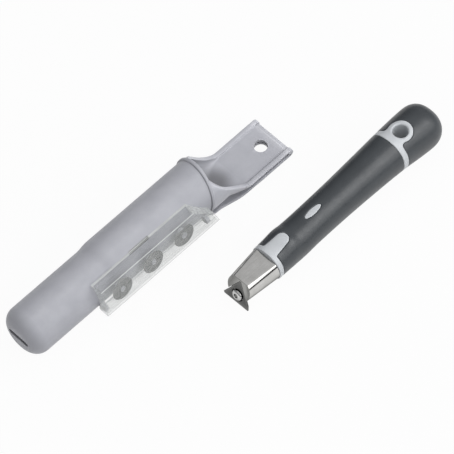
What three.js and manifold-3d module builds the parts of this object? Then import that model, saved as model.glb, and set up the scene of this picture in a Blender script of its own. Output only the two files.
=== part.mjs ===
// A pull scraper for paint, lying beside the holster that carries it and its spare blades.
// Millimetres, +Z up. +X runs from the blade, or the holster's nose, to the hanging end.
// Each tool is modelled about its own axis, with x counted from its front end, then laid on z = 0.

import * as THREE from "three";
import { mergeVertices } from "three/addons/utils/BufferGeometryUtils.js";
import Module from "manifold-3d";

// Gaps
const RUNNING_GAP = 0.3; // between pieces that touch, turn or slide
const FAR = 60; // reach of the cutting bodies past the work
const WELD = 1e-4; // points closer than this are one

// Scraper: blade and screw
const BLADE_SIDE = 22.4;
const BLADE_CLIP = 1.2; // height taken off each corner
const BLADE_THICKNESS = 1.8;
const BLADE_RELIEF = 1.1; // how far the back face stands inside the cutting edges
const BLADE_DISH = 9.4; // diameter of the dished centre
const BLADE_DISH_DEPTH = 0.8;
const BLADE_RAKE = THREE.MathUtils.degToRad(15); // the blade's top leans back
const BLADE_DROP = 6.1; // screw axis below the handle's axis, at the seat
const SCREW_SHANK = 4;
const SCREW_LENGTH = 9;
const SCREW_HEAD = 7.8;
const SCREW_HEAD_HEIGHT = 2.3;
const SCREW_RIM = 0.8; // straight side of the head
const SCREW_CROWN = 3.6; // diameter of its flat top
const SCREW_SOCKET = 3.4; // across the corners
const SCREW_SOCKET_DEPTH = 1.3;

// Scraper: metal head
const SEAT_X = 3.4; // where the screw axis meets the seat
const HEAD_END_X = 27.5; // where the head meets the collar
const HEAD_FRONT_RADIUS = 8.9; // of the head's cone, at x = 0
const HEAD_REAR_RADIUS = 11.5;
const HEAD_FLAT_FRONT = 7.5; // height of the flat on top of the cone, at x = 0
const HEAD_FLAT_REAR = 8.2;
const TANG_LENGTH = 46;
const TANG_WIDTH = 9;
const TANG_HEIGHT = 5;

// Scraper: two-shot handle
const HANDLE_END_X = 178.2;
const HANDLE_SQUARENESS = 2.25;
const BUTT_ROUND = 15; // length of the rounded butt
const BUTT_SQUARENESS = 2.7;
const BUTT_TURN = THREE.MathUtils.degToRad(84); // how far the butt's curve is followed to its flat end
const GRIP_SKIN = 2.2;
const COLLAR_WIDTH = 3.4;
const TAB_LENGTH = 15;
const TAB_BASE = 11.4;
const TAB_TIP = 8.8;
const WINDOW_X = 69;
const WINDOW_LENGTH = 14;
const WINDOW_WIDTH = 4.2;
const BAND_X = 137.6;
const BAND_WIDTH = 4;
const HANG_HOLE_X = 148.5;
const HANG_HOLE = 10;
const HANG_RING = 16.4;
const SADDLE_FILLET = 4.5;
// Half width, top and bottom of the handle along its axis
const HANDLE_STATIONS = [
  { x: HEAD_END_X, halfWidth: 11.8, top: 11.6, bottom: -11.9 },
  { x: 35, halfWidth: 12, top: 12, bottom: -12 },
  { x: 44, halfWidth: 12.3, top: 12.8, bottom: -12.2 },
  { x: 51, halfWidth: 12.2, top: 11.9, bottom: -12.3 },
  { x: 64, halfWidth: 11.9, top: 12, bottom: -12.1 },
  { x: 92, halfWidth: 12.2, top: 12.6, bottom: -12.3 },
  { x: 124, halfWidth: 13.3, top: 13.6, bottom: -13.3 },
  { x: 140, halfWidth: 14.1, top: 13.8, bottom: -14.4 },
  { x: 155, halfWidth: 15, top: 13.2, bottom: -16.6 },
  { x: 165, halfWidth: 15.3, top: 12.4, bottom: -17.6 },
  { x: HANDLE_END_X, halfWidth: 15, top: 11.6, bottom: -17.4 },
];

// Holster: sleeve
const SLEEVE_LENGTH = 151.5;
const SLEEVE_WALL = 1.5;
const BARREL_RADIUS = 17.8;
const NOSE_RADIUS = BARREL_RADIUS - 1;
const NOSE_ROUND = 9.5;
const NOSE_SLOT = { width: 16, height: 3.4, up: 1.5 };
const SHOULDER_X = 63.2;
const SHOULDER_LENGTH = 10;
const BEAD_HEIGHT = 1;
const BEAD_WIDTH = 2.4;
const BEAD_ROUND = 0.6;
const LIP_LEAN_UP = 0.18; // how far the mouth's rim leans forward as it rises
const LIP_LEAN_SIDE = 0.12; // and towards the side away from the cover

// Holster: mouth piece and belt clip
const SPIGOT_LENGTH = 12;
const SPIGOT_WALL = 1.3;
const TROUGH_RADIUS = BARREL_RADIUS - 0.5;
const TROUGH_TOP = BARREL_RADIUS - 4; // height at which the scooped edge leaves the bead
const SCOOP_SLOPE = 1.3;
const TROUGH_CORNER = 0.92; // share of the wall that its rounded foot may take
const RIB_X = SLEEVE_LENGTH + 31.8; // where the scooped edge has come down to the rib
const PLATE_X = SLEEVE_LENGTH + 28.8; // where the ramp ends in the flat plate
const PLATE_DEPTH = BARREL_RADIUS + 0.4; // plate's face below the sleeve's axis
const PLATE_THICKNESS = 2;
const PLATE_HALF_WIDTH = 16.6;
const RIB_HEIGHT = 1;
const RIB_WIDTH = 3.4;
const CLIP_SLOT = 1.2;
const BEND_X = SLEEVE_LENGTH + 64.7; // centre of the hairpin
const BEND_LAP = 1; // how far the hairpin runs into the plate
const CLIP_HOLE = 9;
const CLIP_HOLE_X = BEND_X - 9.4;
const TONGUE_THICKNESS = 2;
const TONGUE_STRAIGHT_X = BEND_X - 24.9; // where it leaves the plate's line
const TONGUE_BOW_X = BEND_X - 40.9;
const TONGUE_BOW = 1.8;
const TONGUE_THROAT_X = BEND_X - 57.9;
const TONGUE_THROAT_RISE = 1.8;
const TONGUE_LIP_DROP = 1.8;
const TONGUE_TIP_X = BEND_X - 66.4;
const TONGUE_TIP_HALF_WIDTH = 13;
const TONGUE_TIP_ROUND = 5;

// Holster: spare blades
const SPARE_FIRST_X = 67.2;
const SPARE_PITCH = 26.2;
const SPARE_RADIUS = 8.5;
const SPARE_THICKNESS = 1.5;
const SPARE_GAP = 0.6; // blade to cover
const SPARE_POINT = SPARE_RADIUS + 1.1; // pear's tip above its centre
const SPARE_DOWN = SPARE_POINT + 4.1; // blade centre along the cover's front, from its top edge
const SPARE_SHOULDER = THREE.MathUtils.degToRad(48); // where the pear's sides leave its round
const SPARE_FLAT = SPARE_RADIUS - 2.5; // flat blade's edge above its centre
const PEG = 4;
const PEG_SHOULDER = 6.4;
const PEG_PROUD = 0.4;

// Holster: clear cover. Corners are given as distance out from the sleeve's axis and height.
const COVER_START_X = 51;
// Its rear end falls back twice as it rises: from the foot to a bend, and from there to the top
const COVER_END_LOW_X = SLEEVE_LENGTH - 4.8;
const COVER_END_BEND = { x: SLEEVE_LENGTH - 8.2, up: 3.5 };
const COVER_END_TOP_X = SLEEVE_LENGTH - 23;
const COVER_WALL = 1.2;
const COVER_TOP_EDGE = { out: BARREL_RADIUS + 3.4, up: BARREL_RADIUS - 1 };
const COVER_FOOT_ROOM = 1.6; // below the spare blades
const COVER_HEIGHT = SPARE_DOWN + SPARE_RADIUS + COVER_FOOT_ROOM;
const COVER_LOW_EDGE = { out: COVER_TOP_EDGE.out + 4.4, up: COVER_TOP_EDGE.up - COVER_HEIGHT };
const COVER_ROOT = { out: 9.8, up: BARREL_RADIUS - 3.8 }; // where the cover's top meets the barrel
const COVER_OPEN = { out: 4.2, up: 0 }; // inside the barrel, where the cover is open
const COVER_OPEN_REACH = 2.2; // how far its hollow runs past that side
const COVER_ROUND = 1.8;
const HINGE = { out: BARREL_RADIUS + 1.15, up: COVER_LOW_EDGE.up + 1 };
const HINGE_PIN = 2.4;
const HINGE_PIN_LENGTH = 2.2;
const EAR_THICKNESS = 2.6;
const EAR_RADIUS = 2.7;
const EAR_WEB = 5.1;
const LATCH_X = 91.4;
const LATCH_LENGTH = 16;
const LATCH_THICKNESS = 1;
const LATCH_REACH = 0.9;
const LATCH_SWING_ROOM = 1; // room below the hook, which leaves the slot at a slant
const LATCH_GRIP_ROOM = 1.4; // room above the hook

// Where the scraper lies beside the holster
const SCRAPER_OFFSET_X = 118.8;
const SCRAPER_OFFSET_Y = -66.8;
const SCRAPER_TURN = THREE.MathUtils.degToRad(1.36); // about the vertical

// Facets
const AROUND = 32;
const ROUND_SIDES = 24;
const HEX_SIDES = 6;
const ROUND_STEPS = 5;

const FINISHES = {
  core: { color: 0xcfd2d3, roughness: 0.45, metalness: 0 },
  grip: { color: 0x50565b, roughness: 0.75, metalness: 0 },
  steel: { color: 0xc4c4c0, roughness: 0.25, metalness: 1 },
  blade: { color: 0x8e9090, roughness: 0.35, metalness: 1 },
  sleeve: { color: 0xb0b3ba, roughness: 0.5, metalness: 0 },
  clear: { color: 0xeef1f2, roughness: 0.1, metalness: 0, transparent: true, opacity: 0.35 },
  spare: { color: 0x5c5e60, roughness: 0.4, metalness: 1 },
};

const wasm = await Module();
wasm.setup();

// How far the mouth's rim stands forward at a point of its section.
const leanAt = (y, z) => LIP_LEAN_UP * z + LIP_LEAN_SIDE * y;

// A closed geometry as a solid that can be cut and joined.
function solidOf(geometry) {
  const bare = new THREE.BufferGeometry();
  bare.setAttribute("position", geometry.getAttribute("position"));
  bare.setIndex(geometry.getIndex());
  const welded = mergeVertices(bare, WELD);
  const corners = welded.getIndex().array;
  const kept = [];
  for (let i = 0; i < corners.length; i += 3) {
    const [a, b, c] = corners.slice(i, i + 3);
    if (a !== b && b !== c && c !== a) {
      kept.push(a, b, c);
    }
  }
  const vertProperties = new Float32Array(welded.getAttribute("position").array);
  const mesh = new wasm.Mesh({ numProp: 3, vertProperties, triVerts: new Uint32Array(kept) });
  return new wasm.Manifold(mesh);
}

function meshOf(name, solid, finish) {
  const { vertProperties, triVerts } = solid.getMesh();
  const geometry = new THREE.BufferGeometry();
  geometry.setAttribute("position", new THREE.BufferAttribute(new Float32Array(vertProperties), 3));
  geometry.setIndex(new THREE.BufferAttribute(new Uint32Array(triVerts), 1));
  geometry.computeVertexNormals();
  const mesh = new THREE.Mesh(geometry, new THREE.MeshStandardMaterial(FINISHES[finish]));
  mesh.name = name;
  return mesh;
}

const union = (solids) => solids.reduce((sum, solid) => sum.add(solid));
const mix = THREE.MathUtils.lerp;
const clamp01 = (value) => THREE.MathUtils.clamp(value, 0, 1);

// Skins rings of points that follow each other along +X, each ring counter-clockwise seen from +X.
function loft(rings) {
  const count = rings[0].length;
  const positions = rings.flat().flatMap((point) => [point.x, point.y, point.z]);
  const index = [];
  for (let ring = 0; ring + 1 < rings.length; ring += 1) {
    for (let step = 0; step < count; step += 1) {
      const a = ring * count + step;
      const b = ring * count + ((step + 1) % count);
      index.push(a, b, a + count, b, b + count, a + count);
    }
  }
  const last = (rings.length - 1) * count;
  const flatten = (ring) => ring.map((point) => new THREE.Vector2(point.y, point.z));
  THREE.ShapeUtils.triangulateShape(flatten(rings[0]), []).forEach(([a, b, c]) => index.push(a, c, b));
  THREE.ShapeUtils.triangulateShape(flatten(rings.at(-1)), []).forEach(([a, b, c]) => {
    index.push(last + a, last + b, last + c);
  });
  const geometry = new THREE.BufferGeometry();
  geometry.setAttribute("position", new THREE.Float32BufferAttribute(positions, 3));
  geometry.setIndex(index);
  return solidOf(geometry);
}

// A closed profile of radius and x, turned about the X axis.
// Points from leanStart on lean with the mouth's rim.
function revolve(profile, segments = AROUND, leanStart = Infinity) {
  const points = profile.map(([radius, x]) => new THREE.Vector2(radius, x));
  points.push(points[0].clone());
  const geometry = new THREE.LatheGeometry(points, segments).rotateZ(-Math.PI / 2);
  const position = geometry.getAttribute("position");
  for (let i = 0; i < position.count; i += 1) {
    const x = position.getX(i);
    if (x >= leanStart) {
      position.setX(i, x + leanAt(position.getY(i), position.getZ(i)));
    }
  }
  return solidOf(geometry);
}

const EXTRUDE_FLAT = { bevelEnabled: false, curveSegments: 2 * ROUND_STEPS };

// A plan outline (x, y) raised from one height to another.
function raise(shape, low, high) {
  const geometry = new THREE.ExtrudeGeometry(shape, { ...EXTRUDE_FLAT, depth: high - low });
  return solidOf(geometry.translate(0, 0, low));
}

// A side outline (x, z) spread over a width, centred on y.
function spread(shape, width, y = 0) {
  const geometry = new THREE.ExtrudeGeometry(shape, { ...EXTRUDE_FLAT, depth: width });
  return solidOf(geometry.rotateX(Math.PI / 2).translate(0, y + width / 2, 0));
}

// An end outline (y, z) drawn along x.
const END_BASIS = new THREE.Matrix4().makeBasis(
  new THREE.Vector3(0, 1, 0),
  new THREE.Vector3(0, 0, 1),
  new THREE.Vector3(1, 0, 0),
);

function drawAlong(shape, start, end) {
  const geometry = new THREE.ExtrudeGeometry(shape, { ...EXTRUDE_FLAT, depth: end - start });
  return solidOf(geometry.applyMatrix4(END_BASIS).translate(start, 0, 0));
}

function box(size, centre) {
  return solidOf(new THREE.BoxGeometry(...size).translate(...centre));
}

function cylinder(radius, low, high, matrix, segments = ROUND_SIDES) {
  const geometry = new THREE.CylinderGeometry(radius, radius, high - low, segments);
  geometry.rotateX(Math.PI / 2).translate(0, 0, (low + high) / 2);
  return solidOf(geometry.applyMatrix4(matrix));
}

function outline(points) {
  return new THREE.Shape(points.map(([a, b]) => new THREE.Vector2(a, b)));
}

function circle(x, y, radius) {
  return new THREE.Shape().absarc(x, y, radius, 0, 2 * Math.PI);
}

// A polygon with its corners rounded, as a list of points.
function softened(corners, radius) {
  return corners.flatMap((corner, i) => {
    const before = corners[(i + corners.length - 1) % corners.length];
    const after = corners[(i + 1) % corners.length];
    const start = corner.clone().add(before.clone().sub(corner).setLength(radius));
    const end = corner.clone().add(after.clone().sub(corner).setLength(radius));
    return new THREE.QuadraticBezierCurve(start, corner, end).getPoints(ROUND_STEPS);
  });
}

// A closed ring at x: flat or round above and below its widest line, as squareness grows or falls.
function ringAt(x, { halfWidth, top, bottom }, topSquareness, bottomSquareness, waist = 0) {
  return Array.from({ length: AROUND }, (_, step) => {
    const angle = (2 * Math.PI * step) / AROUND;
    const across = Math.cos(angle);
    const up = Math.sin(angle);
    const power = 2 / (up >= 0 ? topSquareness : bottomSquareness);
    const reach = up >= 0 ? top - waist : waist - bottom;
    const y = halfWidth * Math.sign(across) * Math.abs(across) ** power;
    const z = waist + reach * Math.sign(up) * Math.abs(up) ** power;
    return new THREE.Vector3(x, y, z);
  });
}

// Scraper

// The handle's half width, top and bottom at x, on a smooth curve through the stations.
function handleSize(x) {
  const key = (name) => {
    const points = HANDLE_STATIONS.map((station) => new THREE.Vector2(station.x, station[name]));
    const next = Math.min(points.length - 1, Math.max(1, points.findIndex((point) => point.x >= x)));
    const [a, b] = [points[next - 1], points[next]];
    const before = points[Math.max(0, next - 2)];
    const after = points[Math.min(points.length - 1, next + 1)];
    const slopeA = (b.y - before.y) / (b.x - before.x);
    const slopeB = (after.y - a.y) / (after.x - a.x);
    const span = b.x - a.x;
    const t = (x - a.x) / span;
    const bend = (slopeA * span - (b.y - a.y)) * (1 - t) - (slopeB * span - (b.y - a.y)) * t;
    return mix(a.y, b.y, t) + t * (1 - t) * bend;
  };
  return { halfWidth: key("halfWidth"), top: key("top"), bottom: key("bottom") };
}

// The handle's whole outer form, drawn in by an inset that leaves room for the grips.
function handleForm(start, inset, straight) {
  const end = HANDLE_END_X - inset;
  const roundStart = HANDLE_END_X - BUTT_ROUND;
  const butt = 7;
  const stations = [];
  for (let step = 0; step < straight; step += 1) {
    stations.push({ x: mix(start, roundStart, step / straight), shrink: 1 });
  }
  for (let step = 0; step <= butt; step += 1) {
    const angle = (BUTT_TURN * step) / butt;
    const x = mix(roundStart, end, Math.sin(angle) ** (2 / BUTT_SQUARENESS));
    stations.push({ x, shrink: Math.cos(angle) ** (2 / BUTT_SQUARENESS) });
  }
  return loft(stations.map(({ x, shrink }) => {
    const size = handleSize(x);
    const middle = (size.top + size.bottom) / 2;
    const height = ((size.top - size.bottom) / 2 - inset) * shrink;
    const section = {
      halfWidth: (size.halfWidth - inset) * shrink,
      top: middle + height,
      bottom: middle - height,
    };
    return ringAt(x, section, HANDLE_SQUARENESS, HANDLE_SQUARENESS, middle);
  }));
}

function tabOutline(grow) {
  const start = HEAD_END_X;
  const tip = TAB_TIP / 2 + grow;
  const roundX = HEAD_END_X + COLLAR_WIDTH + TAB_LENGTH - TAB_TIP / 2;
  const shape = new THREE.Shape();
  shape.moveTo(start, -TAB_BASE / 2 - grow);
  shape.lineTo(roundX, -tip);
  shape.absarc(roundX, 0, tip, -Math.PI / 2, Math.PI / 2);
  shape.lineTo(start, TAB_BASE / 2 + grow);
  return shape;
}

function windowOutline(grow) {
  const shape = new THREE.Shape();
  shape.absellipse(WINDOW_X, 0, WINDOW_LENGTH / 2 + grow, WINDOW_WIDTH / 2 + grow, 0, 2 * Math.PI);
  return shape;
}

// The band round the handle, and the ring round the hanging hole that grows out of it.
function saddleOutline(grow) {
  const ring = HANG_RING / 2 + grow;
  const rear = BAND_X + BAND_WIDTH + grow;
  const fillet = SADDLE_FILLET - grow;
  const filletX = rear + fillet;
  const filletY = Math.sqrt((ring + fillet) ** 2 - (HANG_HOLE_X - filletX) ** 2);
  const meet = Math.atan2(filletY, filletX - HANG_HOLE_X);
  const shape = new THREE.Shape();
  shape.moveTo(BAND_X - grow, -FAR);
  shape.lineTo(rear, -FAR);
  shape.lineTo(rear, -filletY);
  shape.absarc(filletX, -filletY, fillet, Math.PI, Math.PI - meet, true);
  shape.absarc(HANG_HOLE_X, 0, ring, -meet, meet);
  shape.absarc(filletX, filletY, fillet, meet - Math.PI, -Math.PI, true);
  shape.lineTo(rear, FAR);
  shape.lineTo(BAND_X - grow, FAR);
  return shape;
}

// The places where the core comes up flush with the grips.
function coreWindows(grow) {
  const collarEnd = HEAD_END_X + COLLAR_WIDTH + grow;
  const collarStart = HEAD_END_X - FAR;
  const collarSize = [collarEnd - collarStart, 2 * FAR, 2 * FAR];
  return union([
    box(collarSize, [(collarStart + collarEnd) / 2, 0, 0]),
    raise(tabOutline(grow), 0, FAR),
    raise(windowOutline(grow), 0, FAR),
    raise(saddleOutline(grow), -FAR, FAR),
  ]);
}

function tangBar(grow) {
  const size = [TANG_LENGTH + 2 * grow, TANG_WIDTH + 2 * grow, TANG_HEIGHT + 2 * grow];
  return box(size, [HEAD_END_X + TANG_LENGTH / 2 - RUNNING_GAP, 0, 0]);
}

function handlePieces() {
  const outerSteps = 17;
  const innerSteps = 12;
  const form = handleForm(HEAD_END_X, 0, outerSteps);
  const hole = (grow) => raise(circle(HANG_HOLE_X, 0, HANG_HOLE / 2 + grow), -FAR, FAR);
  const core = handleForm(HEAD_END_X, GRIP_SKIN, innerSteps)
    .add(form.intersect(coreWindows(0)))
    .subtract(hole(0))
    .subtract(tangBar(RUNNING_GAP));
  const skin = form
    .subtract(handleForm(HEAD_END_X - RUNNING_GAP, GRIP_SKIN - RUNNING_GAP, innerSteps))
    .subtract(coreWindows(RUNNING_GAP))
    .subtract(hole(RUNNING_GAP));
  const bandMiddle = BAND_X + BAND_WIDTH / 2;
  const front = box([2 * FAR + bandMiddle, 2 * FAR, 2 * FAR], [bandMiddle / 2 - FAR, 0, 0]);
  return [
    meshOf("handle_core", core, "core"),
    meshOf("main_grip", skin.intersect(front), "grip"),
    meshOf("butt_grip", skin.subtract(front), "grip"),
  ];
}

// The seat's frame: x across, y up the seat, z out of it along the screw.
function seatFrame() {
  const across = new THREE.Vector3(0, -1, 0);
  const up = new THREE.Vector3(Math.sin(BLADE_RAKE), 0, Math.cos(BLADE_RAKE));
  const out = across.clone().cross(up);
  return new THREE.Matrix4().makeBasis(across, up, out).setPosition(SEAT_X, 0, -BLADE_DROP);
}

// An equilateral outline about its centre, apex up, with clipped corners: counter-clockwise, apex first.
function triangle(side) {
  const reach = side / Math.sqrt(3) - BLADE_CLIP;
  const half = BLADE_CLIP / Math.sqrt(3);
  const centre = new THREE.Vector2();
  return [0, 1, 2].flatMap((corner) => [half, -half].map((across) => {
    const turn = (corner * 2 * Math.PI) / 3;
    return new THREE.Vector2(across, reach).rotateAround(centre, turn);
  }));
}

function inFrame(shape, low, high, matrix) {
  const geometry = new THREE.ExtrudeGeometry(shape, { ...EXTRUDE_FLAT, depth: high - low });
  return solidOf(geometry.translate(0, 0, low).applyMatrix4(matrix));
}

// A cone with a flat on top, cut square to the screw in front.
// The blade's apex sits in its pocket.
function bladeHead(seat) {
  const start = -HEAD_FRONT_RADIUS;
  const end = HEAD_END_X - RUNNING_GAP;
  const radiusAt = (x) => mix(HEAD_FRONT_RADIUS, HEAD_REAR_RADIUS, x / HEAD_END_X);
  const flatAt = (x) => mix(HEAD_FLAT_FRONT, HEAD_FLAT_REAR, x / HEAD_END_X);
  const cone = revolve([[0, start], [radiusAt(start), start], [radiusAt(end), end], [0, end]]);
  const aboveFlat = outline([[-FAR, flatAt(-FAR)], [FAR, flatAt(FAR)], [FAR, 2 * FAR], [-FAR, 2 * FAR]]);
  const inFront = outline([[-FAR, -FAR], [FAR, -FAR], [FAR, FAR], [-FAR, FAR]]);
  const frontDepth = BLADE_THICKNESS + RUNNING_GAP;
  const [apexRight, apexLeft, left, , , right] = triangle(BLADE_SIDE + 2 * Math.sqrt(3) * RUNNING_GAP);
  const below = [new THREE.Vector2(left.x, -FAR), new THREE.Vector2(right.x, -FAR)];
  const pocket = new THREE.Shape([apexRight, apexLeft, left, ...below, right]);
  const threadDepth = SCREW_LENGTH + RUNNING_GAP;
  return cone
    .subtract(spread(aboveFlat, 2 * FAR))
    .subtract(inFrame(inFront, frontDepth, FAR, seat))
    .subtract(inFrame(pocket, -RUNNING_GAP, FAR, seat))
    .subtract(cylinder(SCREW_SHANK / 2 + RUNNING_GAP, -threadDepth, FAR, seat))
    .add(tangBar(0));
}

function scraperBlade(seat) {
  const front = BLADE_THICKNESS;
  const ring = (side, height) => triangle(side)
    .map(({ x, y }) => new THREE.Vector3(x, y, height).applyMatrix4(seat))
    .toReversed();
  const backSide = BLADE_SIDE - 2 * Math.sqrt(3) * BLADE_RELIEF;
  return loft([ring(BLADE_SIDE, front), ring(backSide, 0)])
    .subtract(cylinder(BLADE_DISH / 2, front - BLADE_DISH_DEPTH, FAR, seat))
    .subtract(cylinder(SCREW_SHANK / 2 + RUNNING_GAP, -FAR, FAR, seat));
}

function bladeScrew(seat) {
  const under = BLADE_THICKNESS - BLADE_DISH_DEPTH + RUNNING_GAP;
  const crown = under + SCREW_HEAD_HEIGHT;
  const dome = [[0, under], [SCREW_HEAD / 2, under]];
  for (let step = 0; step <= ROUND_STEPS; step += 1) {
    const angle = (Math.PI / 2) * (step / ROUND_STEPS);
    const radius = mix(SCREW_CROWN / 2, SCREW_HEAD / 2, Math.cos(angle));
    dome.push([radius, under + mix(SCREW_RIM, SCREW_HEAD_HEIGHT, Math.sin(angle))]);
  }
  dome.push([0, crown]);
  const profile = dome.map(([radius, height]) => new THREE.Vector2(radius, height));
  const head = new THREE.LatheGeometry(profile, ROUND_SIDES).rotateX(Math.PI / 2).applyMatrix4(seat);
  const socket = cylinder(SCREW_SOCKET / 2, crown - SCREW_SOCKET_DEPTH, FAR, seat, HEX_SIDES);
  return solidOf(head)
    .add(cylinder(SCREW_SHANK / 2, under - SCREW_LENGTH, under + SCREW_HEAD_HEIGHT / 2, seat))
    .subtract(socket);
}

function scraper() {
  const seat = seatFrame();
  const group = new THREE.Group();
  group.add(
    ...handlePieces(),
    meshOf("blade_head", bladeHead(seat), "steel"),
    meshOf("scraper_blade", scraperBlade(seat), "blade"),
    meshOf("blade_screw", bladeScrew(seat), "steel"),
  );
  return group;
}

// Holster

// Points of a profile round a corner, as radius and x.
function quarter(centreRadius, centreX, radius, from, to) {
  return Array.from({ length: ROUND_STEPS + 1 }, (_, step) => {
    const angle = mix(from, to, step / ROUND_STEPS);
    return [centreRadius + radius * Math.sin(angle), centreX - radius * Math.cos(angle)];
  });
}

function sleeveTube() {
  const wall = SLEEVE_WALL;
  const shoulderEnd = SHOULDER_X + SHOULDER_LENGTH;
  const noseRound = quarter(NOSE_RADIUS - NOSE_ROUND, NOSE_ROUND, NOSE_ROUND, 0, Math.PI / 2);
  const noseInside = quarter(NOSE_RADIUS - NOSE_ROUND, NOSE_ROUND, NOSE_ROUND - wall, Math.PI / 2, 0);
  const beadStart = SLEEVE_LENGTH - BEAD_WIDTH;
  const beadRadius = BARREL_RADIUS + BEAD_HEIGHT;
  return revolve([
    [0, 0],
    ...noseRound,
    [NOSE_RADIUS, SHOULDER_X],
    [BARREL_RADIUS, shoulderEnd],
    [BARREL_RADIUS, beadStart],
    [beadRadius, beadStart + BEAD_ROUND],
    [beadRadius, SLEEVE_LENGTH - BEAD_ROUND],
    [beadRadius - BEAD_ROUND, SLEEVE_LENGTH],
    [BARREL_RADIUS - wall, SLEEVE_LENGTH],
    [BARREL_RADIUS - wall, shoulderEnd],
    [NOSE_RADIUS - wall, SHOULDER_X],
    ...noseInside,
    [0, wall],
  ], AROUND, beadStart);
}

// Unit directions in the end view (y, z): down the cover's front, and out through it.
const coverFront = new THREE.Vector2(
  COVER_TOP_EDGE.out - COVER_LOW_EDGE.out,
  COVER_LOW_EDGE.up - COVER_TOP_EDGE.up,
).normalize();
const coverOut = new THREE.Vector2(coverFront.y, -coverFront.x);

// A spare blade's frame: x along the holster, y up the cover's front, z out through it.
function spareFrame(index) {
  const centre = new THREE.Vector2(-COVER_TOP_EDGE.out, COVER_TOP_EDGE.up)
    .addScaledVector(coverFront, SPARE_DOWN)
    .addScaledVector(coverOut, -(COVER_WALL + SPARE_GAP + SPARE_THICKNESS));
  const along = new THREE.Vector3(1, 0, 0);
  const up = new THREE.Vector3(0, -coverFront.x, -coverFront.y);
  const out = new THREE.Vector3(0, coverOut.x, coverOut.y);
  const x = SPARE_FIRST_X + SPARE_PITCH * index;
  return new THREE.Matrix4().makeBasis(along, up, out).setPosition(x, centre.x, centre.y);
}

function spareOutlines() {
  const pear = new THREE.Shape();
  pear.moveTo(0, SPARE_POINT);
  pear.absarc(0, 0, SPARE_RADIUS, Math.PI / 2 + SPARE_SHOULDER, 2.5 * Math.PI - SPARE_SHOULDER);
  const round = circle(0, 0, SPARE_RADIUS);
  const flat = new THREE.Shape();
  const edge = Math.asin(SPARE_FLAT / SPARE_RADIUS);
  flat.absarc(0, 0, SPARE_RADIUS, Math.PI - edge, 2 * Math.PI + edge);
  return { pear, round, flat };
}

function spareBlades() {
  return Object.entries(spareOutlines()).map(([kind, shape], index) => {
    const frame = spareFrame(index);
    const blade = inFrame(shape, 0, SPARE_THICKNESS, frame);
    const hole = cylinder(PEG / 2 + RUNNING_GAP, -FAR, FAR, frame);
    return meshOf(`spare_blade_${kind}`, blade.subtract(hole), "spare");
  });
}

// A peg stands on the barrel, with a shoulder that keeps the blade off it.
function bladePeg(index) {
  const frame = spareFrame(index);
  const root = -(Math.hypot(frame.elements[13], frame.elements[14]) - BARREL_RADIUS + SLEEVE_WALL / 2);
  return cylinder(PEG_SHOULDER / 2, root, -RUNNING_GAP, frame)
    .add(cylinder(PEG / 2, root, SPARE_THICKNESS + PEG_PROUD, frame));
}

// Where the ears stand along the holster: inside the cover's two ends.
const leftEarX = COVER_START_X + COVER_WALL + RUNNING_GAP;
const rightEarX = COVER_END_BEND.x - COVER_WALL - RUNNING_GAP - EAR_THICKNESS;

// An ear on the barrel with the hole that a stub of the cover turns in.
function hingeEar(start) {
  const eye = new THREE.Vector2(-HINGE.out, HINGE.up);
  const root = eye.clone().setLength(NOSE_RADIUS - SLEEVE_WALL / 2);
  const side = new THREE.Vector2(-eye.y, eye.x).setLength(EAR_WEB / 2);
  const web = new THREE.Shape([
    root.clone().add(side),
    root.clone().sub(side),
    eye.clone().sub(side),
    eye.clone().add(side),
  ]);
  const end = start + EAR_THICKNESS;
  const hole = circle(eye.x, eye.y, HINGE_PIN / 2 + RUNNING_GAP);
  return drawAlong(web, start, end)
    .add(drawAlong(circle(eye.x, eye.y, EAR_RADIUS), start, end))
    .subtract(drawAlong(hole, start - FAR, end + FAR));
}

// Corners of the cover's section (y, z): roof's root and edge, front's foot and floor's end.
// The last corner lies inside the barrel, where the cover is open.
function coverCorners() {
  const corner = ({ out, up }) => new THREE.Vector2(-out, up);
  const floorEnd = { out: HINGE.out, up: COVER_LOW_EDGE.up };
  return [COVER_ROOT, COVER_TOP_EDGE, COVER_LOW_EDGE, floorEnd, COVER_OPEN].map(corner);
}

// A convex outline with each edge moved in by its own distance.
function drawnIn(corners, insets) {
  const lines = corners.map((corner, i) => {
    const along = corners[(i + 1) % corners.length].clone().sub(corner).normalize();
    const inward = new THREE.Vector2(-along.y, along.x);
    return { point: corner.clone().addScaledVector(inward, insets[i]), along };
  });
  return lines.map((line, i) => {
    const before = lines[(i + lines.length - 1) % lines.length];
    const gap = line.point.clone().sub(before.point);
    const reach = gap.cross(line.along) / before.along.cross(line.along);
    return before.point.clone().addScaledVector(before.along, reach);
  });
}

// The turn about the barrel, from its top, at which the cover's roof meets it.
function latchTurn() {
  const corners = coverCorners();
  const [root, edge] = drawnIn(corners, corners.map(() => COVER_WALL / 2));
  const along = edge.clone().sub(root).normalize();
  const across = root.cross(along);
  const reach = Math.sqrt(BARREL_RADIUS ** 2 - across ** 2) - root.dot(along);
  const meet = root.clone().addScaledVector(along, reach);
  return Math.atan2(-meet.x, meet.y);
}

// A block across the barrel's wall at the latch, between two radii and two places round the girth.
function latchBlock(length, low, high, sideLow, sideHigh) {
  const geometry = new THREE.BoxGeometry(length, sideHigh - sideLow, high - low);
  geometry.translate(LATCH_X, (sideLow + sideHigh) / 2, (low + high) / 2);
  return solidOf(geometry.rotateX(latchTurn()));
}

// The slot in the nose that lets dust and chips out.
function noseSlot() {
  const radius = NOSE_SLOT.height / 2;
  const reach = NOSE_SLOT.width / 2 - radius;
  const shape = new THREE.Shape();
  shape.absarc(reach, NOSE_SLOT.up, radius, -Math.PI / 2, Math.PI / 2);
  shape.absarc(-reach, NOSE_SLOT.up, radius, Math.PI / 2, 1.5 * Math.PI);
  return drawAlong(shape, -FAR, NOSE_ROUND);
}

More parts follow.
